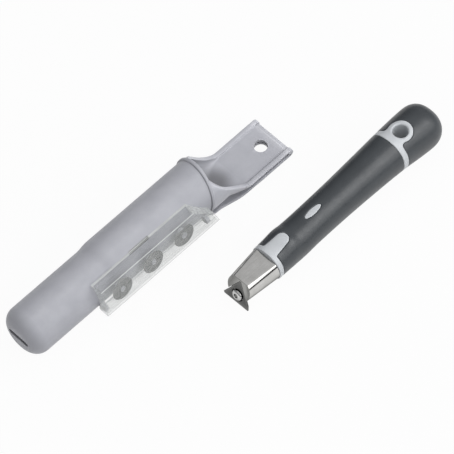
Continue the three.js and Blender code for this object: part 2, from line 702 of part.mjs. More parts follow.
function holsterSleeve() {
  const bore = BARREL_RADIUS - SLEEVE_WALL;
  const slot = latchBlock(
    LATCH_LENGTH + 2 * RUNNING_GAP,
    bore - SLEEVE_WALL,
    BARREL_RADIUS + SLEEVE_WALL,
    -LATCH_THICKNESS / 2 - LATCH_SWING_ROOM,
    LATCH_THICKNESS / 2 + LATCH_GRIP_ROOM,
  );
  const pegs = Object.keys(spareOutlines()).map((_, index) => bladePeg(index));
  const added = union([hingeEar(leftEarX), hingeEar(rightEarX), ...pegs]);
  const noseBore = NOSE_RADIUS - SLEEVE_WALL;
  const inside = revolve([
    [0, 0],
    [noseBore, 0],
    [noseBore, SHOULDER_X],
    [bore, SHOULDER_X + SHOULDER_LENGTH],
    [bore, SLEEVE_LENGTH],
    [0, SLEEVE_LENGTH],
  ]);
  return sleeveTube().add(added.subtract(inside)).subtract(slot).subtract(noseSlot());
}

// What lies behind the cover's rear end above or below its bend, as a body to cut with.
function behindCover(low, high, inset) {
  const along = high.clone().sub(low).normalize();
  const out = new THREE.Vector2(along.y, -along.x);
  const start = low.clone().addScaledVector(out, -inset).addScaledVector(along, -FAR);
  const end = high.clone().addScaledVector(out, -inset).addScaledVector(along, FAR);
  const far = out.clone().multiplyScalar(2 * FAR);
  return spread(new THREE.Shape([start, start.clone().add(far), end.clone().add(far), end]), 2 * FAR);
}

function coverBody(corners, round, wall) {
  const foot = new THREE.Vector2(COVER_END_LOW_X, COVER_LOW_EDGE.up);
  const bend = new THREE.Vector2(COVER_END_BEND.x, COVER_END_BEND.up);
  const top = new THREE.Vector2(COVER_END_TOP_X, COVER_TOP_EDGE.up);
  return drawAlong(new THREE.Shape(softened(corners, round)), COVER_START_X + wall, SLEEVE_LENGTH)
    .subtract(behindCover(foot, bend, wall))
    .subtract(behindCover(bend, top, wall));
}

// The barrel and its bead with the clearance that the cover keeps from them.
function barrelRoom() {
  const clear = BARREL_RADIUS + RUNNING_GAP;
  const beadStart = SLEEVE_LENGTH - BEAD_WIDTH - RUNNING_GAP;
  const beadClear = clear + BEAD_HEIGHT;
  const profile = [
    [0, 0],
    [clear, 0],
    [clear, beadStart],
    [beadClear, beadStart],
    [beadClear, SLEEVE_LENGTH + FAR],
    [0, SLEEVE_LENGTH + FAR],
  ];
  return revolve(profile, 2 * AROUND, beadStart);
}

function bladeCover() {
  const corners = coverCorners();
  const walls = [COVER_WALL, COVER_WALL, COVER_WALL];
  const inner = drawnIn(corners, [...walls, -COVER_OPEN_REACH, -COVER_OPEN_REACH]);
  const stub = circle(-HINGE.out, HINGE.up, HINGE_PIN / 2);
  const left = drawAlong(stub, COVER_START_X, leftEarX + HINGE_PIN_LENGTH);
  const rightEarEnd = rightEarX + EAR_THICKNESS;
  const right = drawAlong(stub, rightEarEnd - HINGE_PIN_LENGTH, COVER_END_BEND.x);
  const earRoom = circle(-HINGE.out, HINGE.up, EAR_RADIUS + RUNNING_GAP);
  const leftEarEnd = leftEarX + EAR_THICKNESS;
  const leftRoom = drawAlong(earRoom, COVER_START_X + COVER_WALL, leftEarEnd + RUNNING_GAP);
  const rightRoom = drawAlong(earRoom, rightEarX - RUNNING_GAP, rightEarEnd + RUNNING_GAP);
  const hook = latchBlock(
    LATCH_LENGTH,
    BARREL_RADIUS - LATCH_REACH,
    BARREL_RADIUS + RUNNING_GAP + COVER_WALL / 2,
    -LATCH_THICKNESS / 2,
    LATCH_THICKNESS / 2,
  );
  return coverBody(corners, COVER_ROUND, 0)
    .subtract(coverBody(inner, COVER_ROUND - COVER_WALL, COVER_WALL))
    .subtract(barrelRoom())
    .subtract(leftRoom)
    .subtract(rightRoom)
    .add(union([left, right, hook]));
}

// Mouth piece: half of a section, from its scooped edge down the wall, round the corner to the floor.
function troughHalf(edge, halfWidth, depth) {
  const cornerUp = Math.min(depth, TROUGH_CORNER * (depth + edge));
  const cornerAcross = Math.min(halfWidth, (cornerUp * halfWidth) / depth);
  const points = [];
  const wallSteps = 4;
  const floorSteps = 4;
  for (let step = 0; step < wallSteps; step += 1) {
    const z = mix(edge, cornerUp - depth, step / wallSteps);
    points.push([z > 0 ? Math.sqrt(halfWidth ** 2 - z ** 2) : halfWidth, z]);
  }
  for (let step = 0; step <= ROUND_STEPS; step += 1) {
    const angle = (Math.PI / 2) * (step / ROUND_STEPS);
    points.push([
      halfWidth - cornerAcross * (1 - Math.cos(angle)),
      cornerUp - depth - cornerUp * Math.sin(angle),
    ]);
  }
  const flat = halfWidth - cornerAcross;
  for (let step = 1; step < floorSteps; step += 1) {
    points.push([flat * (1 - step / floorSteps), -depth]);
  }
  return points;
}

// A thin section, counter-clockwise seen from +X: along the outside, then back along the inside.
function troughRing(x, edge, outside, inside, lean) {
  const outerHalf = troughHalf(edge, outside.halfWidth, outside.depth);
  const innerHalf = troughHalf(edge, inside.halfWidth, inside.depth);
  const across = (half) => [
    ...half.map(([y, z]) => new THREE.Vector3(x + lean * leanAt(-y, z), -y, z)),
    ...half.toReversed().map(([y, z]) => new THREE.Vector3(x + lean * leanAt(y, z), y, z)),
  ];
  return [...across(outerHalf), ...across(innerHalf).toReversed()];
}

const troughStart = SLEEVE_LENGTH + RUNNING_GAP;
const ribTop = RIB_HEIGHT - PLATE_DEPTH;

// The scooped edge in side view, from the bead down to the rib.
function scoop() {
  const run = (TROUGH_TOP - ribTop) / SCOOP_SLOPE;
  return new THREE.QuadraticBezierCurve(
    new THREE.Vector2(troughStart, TROUGH_TOP),
    new THREE.Vector2(troughStart + run, ribTop),
    new THREE.Vector2(RIB_X, ribTop),
  );
}

function troughAndPlate() {
  const boreRadius = BARREL_RADIUS - SLEEVE_WALL - RUNNING_GAP - SPIGOT_WALL;
  const scoopSteps = 12;
  const stations = scoop().getPoints(scoopSteps);
  stations.push(new THREE.Vector2(BEND_X, ribTop));
  return loft(stations.map(({ x, y: edge }) => {
    const ramp = clamp01((x - troughStart) / (PLATE_X - troughStart));
    const outside = {
      halfWidth: mix(TROUGH_RADIUS, PLATE_HALF_WIDTH, ramp),
      depth: mix(TROUGH_RADIUS, PLATE_DEPTH + PLATE_THICKNESS, ramp),
    };
    const inside = {
      halfWidth: mix(boreRadius, PLATE_HALF_WIDTH - RIB_WIDTH, ramp),
      depth: mix(boreRadius, PLATE_DEPTH, ramp),
    };
    return troughRing(x, edge, outside, inside, 1 - ramp);
  }));
}

function spigot() {
  const outer = BARREL_RADIUS - SLEEVE_WALL - RUNNING_GAP;
  const inner = outer - SPIGOT_WALL;
  const start = SLEEVE_LENGTH - SPIGOT_LENGTH;
  const end = troughStart + SPIGOT_WALL;
  const tube = revolve([[outer, start], [outer, end], [inner, end], [inner, start]], AROUND, end);
  const edge = scoop().getPoints(ROUND_STEPS).map(({ x, y }) => [x, y]);
  const above = outline([...edge, [RIB_X, FAR], [troughStart, FAR]]);
  return tube.subtract(spread(above, 2 * FAR));
}

// The hairpin that turns the plate back under itself; its outside is round about a set centre.
function hairpin(centreZ, radius, width, y) {
  const slotZ = -PLATE_DEPTH - PLATE_THICKNESS - CLIP_SLOT / 2;
  const shape = new THREE.Shape();
  shape.moveTo(BEND_X, slotZ - CLIP_SLOT / 2);
  shape.lineTo(BEND_X, centreZ - radius);
  shape.absarc(BEND_X, centreZ, radius, -Math.PI / 2, Math.PI / 2);
  shape.lineTo(BEND_X - BEND_LAP, centreZ + radius);
  shape.lineTo(BEND_X - BEND_LAP, slotZ + CLIP_SLOT / 2);
  shape.lineTo(BEND_X, slotZ + CLIP_SLOT / 2);
  shape.absarc(BEND_X, slotZ, CLIP_SLOT / 2, Math.PI / 2, -Math.PI / 2, true);
  return spread(shape, width, y);
}

const tongueTop = -PLATE_DEPTH - PLATE_THICKNESS - CLIP_SLOT;

function clipHole() {
  return raise(circle(CLIP_HOLE_X, 0, CLIP_HOLE / 2), -FAR, FAR);
}

function clipFrame() {
  const tongueLow = tongueTop - TONGUE_THICKNESS;
  const bendRadius = (-PLATE_DEPTH - tongueLow) / 2;
  const railRadius = (ribTop - tongueLow) / 2;
  const railY = PLATE_HALF_WIDTH - RIB_WIDTH / 2;
  return union([
    troughAndPlate(),
    spigot(),
    hairpin(tongueLow + bendRadius, bendRadius, 2 * PLATE_HALF_WIDTH, 0),
    hairpin(tongueLow + railRadius, railRadius, RIB_WIDTH, railY),
    hairpin(tongueLow + railRadius, railRadius, RIB_WIDTH, -railY),
  ]).subtract(clipHole());
}

// The tongue leaves the hairpin under the plate, bows away, closes on the sleeve and ends in a lip.
function clipTongue() {
  const middle = tongueTop - TONGUE_THICKNESS / 2;
  const line = new THREE.SplineCurve([
    new THREE.Vector2(BEND_X - RUNNING_GAP, middle),
    new THREE.Vector2(TONGUE_STRAIGHT_X, middle),
    new THREE.Vector2(TONGUE_BOW_X, middle - TONGUE_BOW),
    new THREE.Vector2(TONGUE_THROAT_X, middle + TONGUE_THROAT_RISE),
    new THREE.Vector2(TONGUE_TIP_X, middle + TONGUE_THROAT_RISE - TONGUE_LIP_DROP),
  ]);
  const steps = 26;
  const side = (sign) => Array.from({ length: steps + 1 }, (_, step) => {
    const tangent = line.getTangent(step / steps);
    const normal = new THREE.Vector2(-tangent.y, tangent.x);
    return line.getPoint(step / steps).addScaledVector(normal, (sign * TONGUE_THICKNESS) / 2);
  });
  const profile = new THREE.Shape([...side(1), ...side(-1).toReversed()]);
  const plan = softened([
    new THREE.Vector2(TONGUE_TIP_X, -TONGUE_TIP_HALF_WIDTH),
    new THREE.Vector2(TONGUE_STRAIGHT_X, -PLATE_HALF_WIDTH),
    new THREE.Vector2(BEND_X + FAR, -PLATE_HALF_WIDTH),
    new THREE.Vector2(BEND_X + FAR, PLATE_HALF_WIDTH),
    new THREE.Vector2(TONGUE_STRAIGHT_X, PLATE_HALF_WIDTH),
    new THREE.Vector2(TONGUE_TIP_X, TONGUE_TIP_HALF_WIDTH),
  ], TONGUE_TIP_ROUND);
  return spread(profile, 2 * FAR)
    .intersect(raise(new THREE.Shape(plan), -FAR, FAR))
    .subtract(clipHole());
}

function holster() {
  const group = new THREE.Group();
  group.add(
    meshOf("holster_sleeve", holsterSleeve(), "sleeve"),
    meshOf("clip_frame", clipFrame(), "sleeve"),
    meshOf("clip_tongue", clipTongue(), "sleeve"),
    meshOf("blade_cover", bladeCover(), "clear"),
    ...spareBlades(),
  );
  return group;
}

// The tilt at which a tool lies on a table: the slope of its lower outline's edge below its middle.
function restingSlope(group) {
  const points = group.children.flatMap((mesh) => {
    const position = mesh.geometry.getAttribute("position");
    const side = (_, i) => new THREE.Vector2(position.getX(i), position.getZ(i));
    return Array.from({ length: position.count }, side);
  });
  points.sort((a, b) => a.x - b.x || a.y - b.y);
  const lower = [];
  for (const point of points) {
    while (lower.length > 1) {
      const [a, b] = lower.slice(-2);
      if ((b.x - a.x) * (point.y - a.y) - (b.y - a.y) * (point.x - a.x) > 0) {
        break;
      }
      lower.pop();
    }
    lower.push(point);
  }
  const middle = (points[0].x + points.at(-1).x) / 2;
  const next = lower.findIndex((point) => point.x > middle);
  const edge = lower[next].clone().sub(lower[next - 1]);
  return Math.atan2(edge.y, edge.x);
}

function layDown(group, x, y, turn) {
  group.rotation.set(0, restingSlope(group), turn, "ZYX");
  group.position.set(x, y, 0);
  group.updateMatrixWorld(true);
  group.position.z = -new THREE.Box3().setFromObject(group, true).min.z;
  return group;
}

const assembly = new THREE.Group();
assembly.add(
  layDown(holster(), 0, 0, 0),
  layDown(scraper(), SCRAPER_OFFSET_X, SCRAPER_OFFSET_Y, SCRAPER_TURN),
);
assembly.updateMatrixWorld(true);
const bounds = new THREE.Box3().setFromObject(assembly, true);
const centre = bounds.getCenter(new THREE.Vector3());
assembly.position.set(-centre.x, -centre.y, -bounds.min.z);

export default assembly;
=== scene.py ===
"""Looks for a paint scraper that lies beside its belt-clip holster.

Each tool is described in millimetres about its own axis, as in the CAD model, and laid in the frame in
metres.
"""

import math

import bmesh
import bpy
from mathutils import Matrix, Vector


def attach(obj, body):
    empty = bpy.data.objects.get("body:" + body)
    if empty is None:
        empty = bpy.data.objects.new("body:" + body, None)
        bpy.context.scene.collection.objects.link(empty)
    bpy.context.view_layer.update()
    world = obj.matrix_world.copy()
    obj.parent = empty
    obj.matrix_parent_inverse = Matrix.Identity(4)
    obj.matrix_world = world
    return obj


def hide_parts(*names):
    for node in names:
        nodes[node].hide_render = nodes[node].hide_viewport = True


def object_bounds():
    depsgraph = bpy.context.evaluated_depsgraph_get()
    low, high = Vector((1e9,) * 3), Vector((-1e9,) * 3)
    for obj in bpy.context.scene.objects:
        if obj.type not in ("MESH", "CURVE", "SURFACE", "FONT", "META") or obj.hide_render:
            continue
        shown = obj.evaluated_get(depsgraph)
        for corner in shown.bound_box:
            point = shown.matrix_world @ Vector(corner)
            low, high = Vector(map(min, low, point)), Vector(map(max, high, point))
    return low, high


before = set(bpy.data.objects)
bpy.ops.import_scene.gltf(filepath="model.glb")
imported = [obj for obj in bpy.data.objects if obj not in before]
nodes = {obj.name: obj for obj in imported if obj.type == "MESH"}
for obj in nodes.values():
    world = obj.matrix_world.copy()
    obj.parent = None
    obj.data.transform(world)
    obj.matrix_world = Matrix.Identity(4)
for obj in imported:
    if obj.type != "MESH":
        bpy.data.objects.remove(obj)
cad_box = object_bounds()
scene = bpy.context.scene
MM = 0.001


def lay(slope, turn, at):
    """Matrix from a tool's own millimetres to the frame's metres."""
    turned = Matrix.Rotation(math.radians(turn), 4, "Z") @ Matrix.Rotation(math.radians(slope), 4, "Y")
    return Matrix.Translation(Vector(at) * MM) @ turned @ Matrix.Scale(MM, 4)


HOLSTER = lay(-2.900762, 0, (-148.316402, 29.704813, 16.297714))
SCRAPER = lay(-1.974448, 1.36, (-29.516402, -37.095188, 11.873484))

# Camera: a long lens, so that the picture is nearly a parallel view
AZIMUTH = math.radians(-44.8)
ELEVATION = math.radians(57)
DISTANCE = 2.5
PIXELS = 454
PIXELS_PER_METRE = 1595.5
PINNED = HOLSTER @ Vector((206.8, 0, -18.2))  # middle of the clip's hole, on the plate
PINNED_PIXEL = (260.6, 146.0)


def set_camera():
    right = Vector((math.cos(AZIMUTH), math.sin(AZIMUTH), 0))
    back = Vector((
        math.sin(AZIMUTH) * math.cos(ELEVATION),
        -math.cos(AZIMUTH) * math.cos(ELEVATION),
        math.sin(ELEVATION),
    ))
    up = back.cross(right)
    across = (PINNED_PIXEL[0] - PIXELS / 2) / PIXELS_PER_METRE
    down = (PINNED_PIXEL[1] - PIXELS / 2) / PIXELS_PER_METRE
    target = PINNED - across * right + down * up
    camera_data = bpy.data.cameras.new("camera")
    camera_data.sensor_width = 36
    camera_data.lens = 36 * DISTANCE * PIXELS_PER_METRE / PIXELS
    camera_data.clip_end = 20
    camera = bpy.data.objects.new("camera", camera_data)
    scene.collection.objects.link(camera)
    basis = Matrix((right, up, back)).transposed().to_4x4()
    camera.matrix_world = Matrix.Translation(target + DISTANCE * back) @ basis
    scene.camera = camera


# Shapes


def mix(a, b, t):
    return a + (b - a) * t


def curve(start, corner, end, t):
    """A point on the smooth curve from start to end that heads for the corner."""
    return start * (1 - t) ** 2 + corner * 2 * t * (1 - t) + end * t * t


class Shape:
    """Points and faces in a tool's own millimetres."""

    def __init__(self):
        self.points = []
        self.faces = []

    def add(self, points, faces):
        base = len(self.points)
        self.points.extend(points)
        self.faces.extend([base + i for i in face] for face in faces)
        return self

    def skin(self, rings, loop=False, caps=True):
        """Skins closed rings that follow each other; a loop joins the last ring to the first."""
        count = len(rings[0])
        total = len(rings)
        faces = []
        for ring in range(total if loop else total - 1):
            after = (ring + 1) % total
            a, b = ring * count, after * count
            for step in range(count):
                turn = (step + 1) % count
                faces.append([a + step, a + turn, b + turn, b + step])
        if caps and not loop:
            faces.append(list(range(count)))
            faces.append([(total - 1) * count + step for step in range(count)])
        return self.add([point for ring in rings for point in ring], faces)


def lathe(profile, segments=160, bend=None):
    """A closed profile of (radius, x), turned about the X axis."""
    rings = []
    for radius, x in profile:
        ring = []
        for step in range(segments):
            angle = math.tau * step / segments
            y, z = radius * math.cos(angle), radius * math.sin(angle)
            ring.append((x + (bend(x, y, z) if bend else 0), y, z))
        rings.append(ring)
    return Shape().skin(rings, loop=True)


def arc(centre, radius, start, end, steps):
    """Points on an arc, as pairs, with angles in degrees from the first axis."""
    points = []
    for step in range(steps + 1):
        angle = math.radians(mix(start, end, step / steps))
        points.append((centre[0] + radius * math.cos(angle), centre[1] + radius * math.sin(angle)))
    return points


def softened(corners, reach, steps=8):
    """A polygon of pairs with its corners rounded."""
    points = []
    for i, corner in enumerate(corners):
        corner = Vector(corner)
        before = Vector(corners[i - 1])
        after = Vector(corners[(i + 1) % len(corners)])
        start = corner + (before - corner).normalized() * reach
        end = corner + (after - corner).normalized() * reach
        points += [tuple(curve(start, corner, end, step / steps)) for step in range(steps + 1)]
    return points


def prism(outline, low, high, axes="xyz"):
    """An outline of pairs raised along the third of the named axes."""
    order = ["xyz".index(name) for name in axes]
    rings = []
    for height in (low, high):
        ring = []
        for pair in outline:
            point = [0, 0, 0]
            for axis, value in zip(order, (*pair, height)):
                point[axis] = value
            ring.append(tuple(point))
        rings.append(ring)
    return Shape().skin(rings)


def level_ring(height, segments, reach):
    """A ring about the third axis; reach is its radius, or a function that gives it by the angle."""
    ring = []
    for step in range(segments):
        angle = math.tau * step / segments
        radius = reach(angle) if callable(reach) else reach
        ring.append((radius * math.cos(angle), radius * math.sin(angle), height))
    return ring


def moved(shape, matrix):
    shape.points = [tuple(matrix @ Vector(point)) for point in shape.points]
    return shape


def mesh_of(name, shape, place):
    mesh = bpy.data.meshes.new(name)
    mesh.from_pydata([place @ Vector(point) for point in shape.points], [], shape.faces)
    work = bmesh.new()
    work.from_mesh(mesh)
    bmesh.ops.remove_doubles(work, verts=work.verts, dist=1e-7)
    bmesh.ops.dissolve_degenerate(work, edges=work.edges, dist=1e-8)
    bmesh.ops.recalc_face_normals(work, faces=work.faces)
    work.to_mesh(mesh)
    work.free()
    return mesh


def carve(mesh, cutter):
    """The mesh with the cutter's body taken out of it."""
    body = bpy.data.objects.new("body", mesh)
    tool = bpy.data.objects.new("tool", cutter)
    for each in (body, tool):
        scene.collection.objects.link(each)
    cut = body.modifiers.new("cut", "BOOLEAN")
    cut.object = tool
    cut.operation = "DIFFERENCE"
    cut.solver = "EXACT"
    done = bpy.data.meshes.new_from_object(body.evaluated_get(bpy.context.evaluated_depsgraph_get()))
    for each in (body, tool):
        bpy.data.objects.remove(each)
    return done


def joined(name, meshes):
    work = bmesh.new()
    for mesh in meshes:
        work.from_mesh(mesh)
    mesh = bpy.data.meshes.new(name)
    work.to_mesh(mesh)
    work.free()
    return mesh


def piece(name, meshes, body, node, material, sharp=38):
    mesh = meshes[0] if len(meshes) == 1 else joined(name, meshes)
    for vertex in mesh.vertices:  # a fine curve can stand microns proud of the CAD model's facets
        vertex.co = [min(max(value, low), high) for value, low, high in zip(vertex.co, *cad_box)]
    obj = bpy.data.objects.new(name, mesh)
    scene.collection.objects.link(obj)
    mesh.materials.clear()
    mesh.materials.append(material)
    mesh.shade_smooth()
    mesh.set_sharp_from_angle(angle=math.radians(sharp))
    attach(obj, body)
    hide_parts(node)
    return obj


def bevel_edges(obj, width, segments, angle, material=-1):
    bevel = obj.modifiers.new("edges", "BEVEL")
    bevel.width = width
    bevel.segments = segments
    bevel.material = material
    bevel.limit_method = "ANGLE"
    bevel.angle_limit = math.radians(angle)


def rounded_copy(node, body, materials, width):
    """The CAD node's own shape as a piece in its place, with rounded edges in the last of its materials."""
    mesh = nodes[node].data.copy()
    mesh.transform(nodes[node].matrix_world)
    obj = piece(f"{node}_body", [mesh], body, node, materials[0], sharp=35)
    for material in materials[1:]:
        mesh.materials.append(material)
    bevel_edges(obj, width, 2, 35, len(materials) - 1)
    return obj


# Materials


class Look:
    """A node material around one Principled shader, textured in the frame's own metres."""

    def __init__(self, name, roughness=0.5, metallic=0.0):
        self.material = bpy.data.materials.new(name)
        self.material.use_nodes = True
        self.tree = self.material.node_tree
        self.shader = self.tree.nodes["Principled BSDF"]
        self.shader.inputs["Roughness"].default_value = roughness
        self.shader.inputs["Metallic"].default_value = metallic
        self.coordinates = self.tree.nodes.new("ShaderNodeTexCoord").outputs["Object"]

    def link(self, output, target):
        self.tree.links.new(output, target)

    def stretched(self, scale):
        node = self.tree.nodes.new("ShaderNodeMapping")
        node.inputs["Scale"].default_value = scale
        self.link(self.coordinates, node.inputs["Vector"])
        return node.outputs["Vector"]

    def noise(self, scale, detail=3.0, roughness=0.55, stretch=None):
        node = self.tree.nodes.new("ShaderNodeTexNoise")
        node.inputs["Scale"].default_value = scale
        node.inputs["Detail"].default_value = detail
        node.inputs["Roughness"].default_value = roughness
        self.link(self.stretched(stretch) if stretch else self.coordinates, node.inputs["Vector"])
        return node.outputs["Fac"]

    def ramp(self, value, stops):
        node = self.tree.nodes.new("ShaderNodeValToRGB")
        elements = node.color_ramp.elements
        while len(elements) < len(stops):
            elements.new(0.5)
        for element, (place, colour) in zip(elements, stops):
            element.position = place
            element.color = (*colour, 1)
        self.link(value, node.inputs["Fac"])
        return node.outputs["Color"]

    def spread(self, value, low, high, start=0.3, end=0.7, kind="LINEAR"):
        """Values from start to end, by default the middle of a noise's range, mapped onto low to high."""
        node = self.tree.nodes.new("ShaderNodeMapRange")
        node.interpolation_type = kind
        node.inputs["From Min"].default_value = start
        node.inputs["From Max"].default_value = end
        node.inputs["To Min"].default_value = low
        node.inputs["To Max"].default_value = high
        self.link(value, node.inputs["Value"])
        return node.outputs["Result"]

    def mixed(self, factor, first, second):
        node = self.tree.nodes.new("ShaderNodeMix")
        node.data_type = "RGBA"
        colours = [socket for socket in node.inputs if socket.type == "RGBA"]
        for socket, value in zip((node.inputs[0], *colours), (factor, first, second)):
            if isinstance(value, (int, float)):
                socket.default_value = value
            elif isinstance(value, tuple):
                socket.default_value = (*value, 1)
            else:
                self.link(value, socket)
        return [socket for socket in node.outputs if socket.type == "RGBA"][0]

    def edges(self, low, high):
        """How far a point stands on a convex edge, from 0 to 1."""
        geometry = self.tree.nodes.new("ShaderNodeNewGeometry")
        return self.spread(geometry.outputs["Pointiness"], 0, 1, low, high)

    def turned_away(self):
        """0 where the surface faces the eye, 1 where it is seen edge on."""
        node = self.tree.nodes.new("ShaderNodeLayerWeight")
        node.inputs["Blend"].default_value = 0.5
        return node.outputs["Facing"]

    def openness(self, reach):
        """0 deep in a hollow of the piece itself, 1 on an open surface."""
        node = self.tree.nodes.new("ShaderNodeAmbientOcclusion")
        node.samples = 8
        node.only_local = True
        node.inputs["Distance"].default_value = reach
        return node.outputs["AO"]

    def distance(self, point):
        """Distance from a point of the frame."""
        node = self.tree.nodes.new("ShaderNodeVectorMath")
        node.operation = "DISTANCE"
        node.inputs[1].default_value = point
        self.link(self.coordinates, node.inputs[0])
        return node.outputs["Value"]

    def product(self, first, second):
        node = self.tree.nodes.new("ShaderNodeMath")
        node.operation = "MULTIPLY"
        self.link(first, node.inputs[0])
        self.link(second, node.inputs[1])
        return node.outputs[0]

    def bump(self, heights):
        """Bumps from (height, strength, depth in metres), one over the other."""
        normal = None
        for height, strength, depth in heights:
            node = self.tree.nodes.new("ShaderNodeBump")
            node.inputs["Strength"].default_value = strength
            node.inputs["Distance"].default_value = depth
            self.link(height, node.inputs["Height"])
            if normal:
                self.link(normal, node.inputs["Normal"])
            normal = node.outputs["Normal"]
        self.link(normal, self.shader.inputs["Normal"])

    def colour(self, output):
        self.link(output, self.shader.inputs["Base Color"])


def plastic(name, dark, light, worn, grain, roughness, hollow, painted_shadow_at=None):
    """Moulded plastic: cloudy colour, a fine spark-eroded grain, paler edges, painted shade in its own
    hollows and, at one point, a painted shadow.
    """
    look = Look(name)
    cloud = look.ramp(look.noise(90, 4), [(0.3, dark), (0.7, light)])
    speckle = look.mixed(0.08, cloud, look.ramp(look.noise(2600, 2), [(0.35, dark), (0.65, worn)]))
    shade = tuple(0.3 * value for value in dark)
    worn_edges = look.mixed(look.edges(0.52, 0.6), speckle, worn)
    # painted shade: the colour darkens towards the shade colour in the piece's own hollows, as strongly as
    # hollow says
    colour = look.mixed(look.spread(look.openness(0.035), hollow, 0, 0.3, 0.9), worn_edges, shade)
    # painted shadow: a near-black patch round one point, fading out between 4 and 15 mm from it
    if painted_shadow_at:
        painted_shadow = look.spread(look.distance(painted_shadow_at), 0.68, 0, 0.004, 0.015, "SMOOTHSTEP")
        colour = look.mixed(painted_shadow, colour, (0.08, 0.08, 0.085))
    look.colour(colour)
    look.shader.inputs["Specular IOR Level"].default_value = 0.35
    look.link(look.spread(look.noise(420, 3), *roughness), look.shader.inputs["Roughness"])
    look.bump([(look.noise(grain, 2), 0.10, 0.00012), (look.noise(160, 2), 0.06, 0.0006)])
    return look.material


def rubber():
    look = Look("grip_rubber")
    cloud = look.ramp(look.noise(70, 4), [(0.3, (0.036, 0.041, 0.046)), (0.7, (0.046, 0.052, 0.058))])
    dust = look.ramp(look.noise(1900, 2), [(0.45, (0.04, 0.045, 0.05)), (0.75, (0.085, 0.09, 0.095))])
    look.colour(look.mixed(look.edges(0.52, 0.62), look.mixed(0.15, cloud, dust), (0.09, 0.095, 0.1)))
    look.link(look.spread(look.noise(300, 3), 0.3, 0.4), look.shader.inputs["Roughness"])
    look.shader.inputs["Specular IOR Level"].default_value = 0.45
    look.bump([(look.noise(3200, 2), 0.16, 0.00012), (look.noise(900, 2), 0.08, 0.0002)])
    return look.material


def metal(name, dark, light, roughness, streak, scratch=0.12):
    """Ground or polished metal with streaks that run along one direction of the frame."""
    look = Look(name, metallic=1.0)
    cloud = look.noise(160, 5, 0.6)
    lines = look.noise(1, 4, 0.6, stretch=streak)
    base = look.ramp(cloud, [(0.3, dark), (0.72, light)])
    lined = look.mixed(0.35, base, look.ramp(lines, [(0.35, dark), (0.65, light)]))
    bright = tuple(min(1.0, value * 1.25) for value in light)
    look.colour(look.mixed(look.edges(0.53, 0.62), lined, bright))
    look.shader.inputs["Specular Tint"].default_value = (0.3, 0.3, 0.3, 1)  # darker at a glancing angle
    look.link(look.spread(lines, *roughness), look.shader.inputs["Roughness"])
    look.bump([(lines, scratch, 0.00006), (look.noise(700, 3), 0.05, 0.0001)])
    return look.material


def clear_plastic(name, dark, light, veil):
    """Thin clear plastic: mostly see-through, denser where it is seen along its face, with denser streaks
    along its length as painted highlights.
    """
    look = Look(name, roughness=0.06)
    look.colour(look.ramp(look.noise(130, 4), [(0.3, dark), (0.7, light)]))
    rays = look.tree.nodes.new("ShaderNodeLightPath")
    lamps_pass = look.spread(rays.outputs["Is Shadow Ray"], 1, 0.2, 0, 1)
    # painted highlights: streaks of denser plastic that run along the length
    streaks = look.spread(look.noise(1, 3, 0.6, stretch=(14, 900, 900)), 0.75, 1.5)
    alpha = look.product(look.spread(look.turned_away(), *veil, 0, 1), streaks)
    look.link(look.product(alpha, lamps_pass), look.shader.inputs["Alpha"])
    look.link(look.spread(look.noise(500, 3), 0.04, 0.12), look.shader.inputs["Roughness"])
    look.bump([(look.noise(220, 2), 0.04, 0.0004)])
    return look.material


# Scraper

HEAD_END_X = 27.5
COLLAR_WIDTH = 3.4
HANDLE_END_X = 178.2
HANDLE_SQUARENESS = 2.25  # 2 would make the handle's section an ellipse
HANDLE_POWER = 2 / HANDLE_SQUARENESS
BUTT_ROUND = 15
BUTT_POWER = 2 / 2.7
BUTT_TURN = math.radians(84)
BAND_X = 137.6
BAND_WIDTH = 4
HANG_HOLE_X = 148.5
HANG_HOLE = 5
HANG_RING = 8.2
SADDLE_FILLET = 4.5
TAB_ROUND_X = 41.5
TAB_HALF_WIDTH = 4.4
WINDOW_X = 69
WINDOW_HALF = (7, 2.1)
GRIP_ROLL = 0.6
CORE_ROLL = 0.45
SEAM_DEPTH = 0.15
FRONT_ROLL = 0.5
HOLE_ROLL = 1.3
HANDLE_STATIONS = [  # x, half width, top and bottom
    (HEAD_END_X, 11.8, 11.6, -11.9),
    (35, 12, 12, -12),
    (44, 12.3, 13, -12.2),
    (51, 12.2, 11.6, -12.3),
    (64, 11.9, 12, -12.1),
    (92, 12.2, 12.6, -12.3),
    (124, 13.3, 13.6, -13.3),
    (140, 14.1, 13.8, -14.4),
    (155, 15, 13.2, -16.6),
    (165, 15.3, 12.4, -17.6),
    (HANDLE_END_X, 15, 11.6, -17.4),
]


def handle_size(x):
    """Half width, top and bottom of the handle at x."""
    last = len(HANDLE_STATIONS) - 1
    following = 1
    while following < last and HANDLE_STATIONS[following][0] < x:
        following += 1
    a, b = HANDLE_STATIONS[following - 1], HANDLE_STATIONS[following]
    before = HANDLE_STATIONS[max(0, following - 2)]
    after = HANDLE_STATIONS[min(last, following + 1)]
    span = b[0] - a[0]
    t = (x - a[0]) / span
    sizes = []
    for key in (1, 2, 3):
        rise = b[key] - a[key]
        slope_a = (b[key] - before[key]) / (b[0] - before[0])
        slope_b = (after[key] - a[key]) / (after[0] - a[0])
        bend = (slope_a * span - rise) * (1 - t) - (slope_b * span - rise) * t
        sizes.append(mix(a[key], b[key], t) + t * (1 - t) * bend)
    return sizes


def handle_section(u):
    """x, half width, half height and middle; u is 0 to 1 along the handle and 1 to 2 round its butt."""
    round_start = HANDLE_END_X - BUTT_ROUND
    if u <= 1:
        x, shrink = mix(HEAD_END_X, round_start, u), 1
    else:
        angle = BUTT_TURN * (u - 1)
        x = mix(round_start, HANDLE_END_X, math.sin(angle) ** BUTT_POWER)
        shrink = math.cos(angle) ** BUTT_POWER
    half, top, bottom = handle_size(x)
    return x, half * shrink, (top - bottom) / 2 * shrink, (top + bottom) / 2


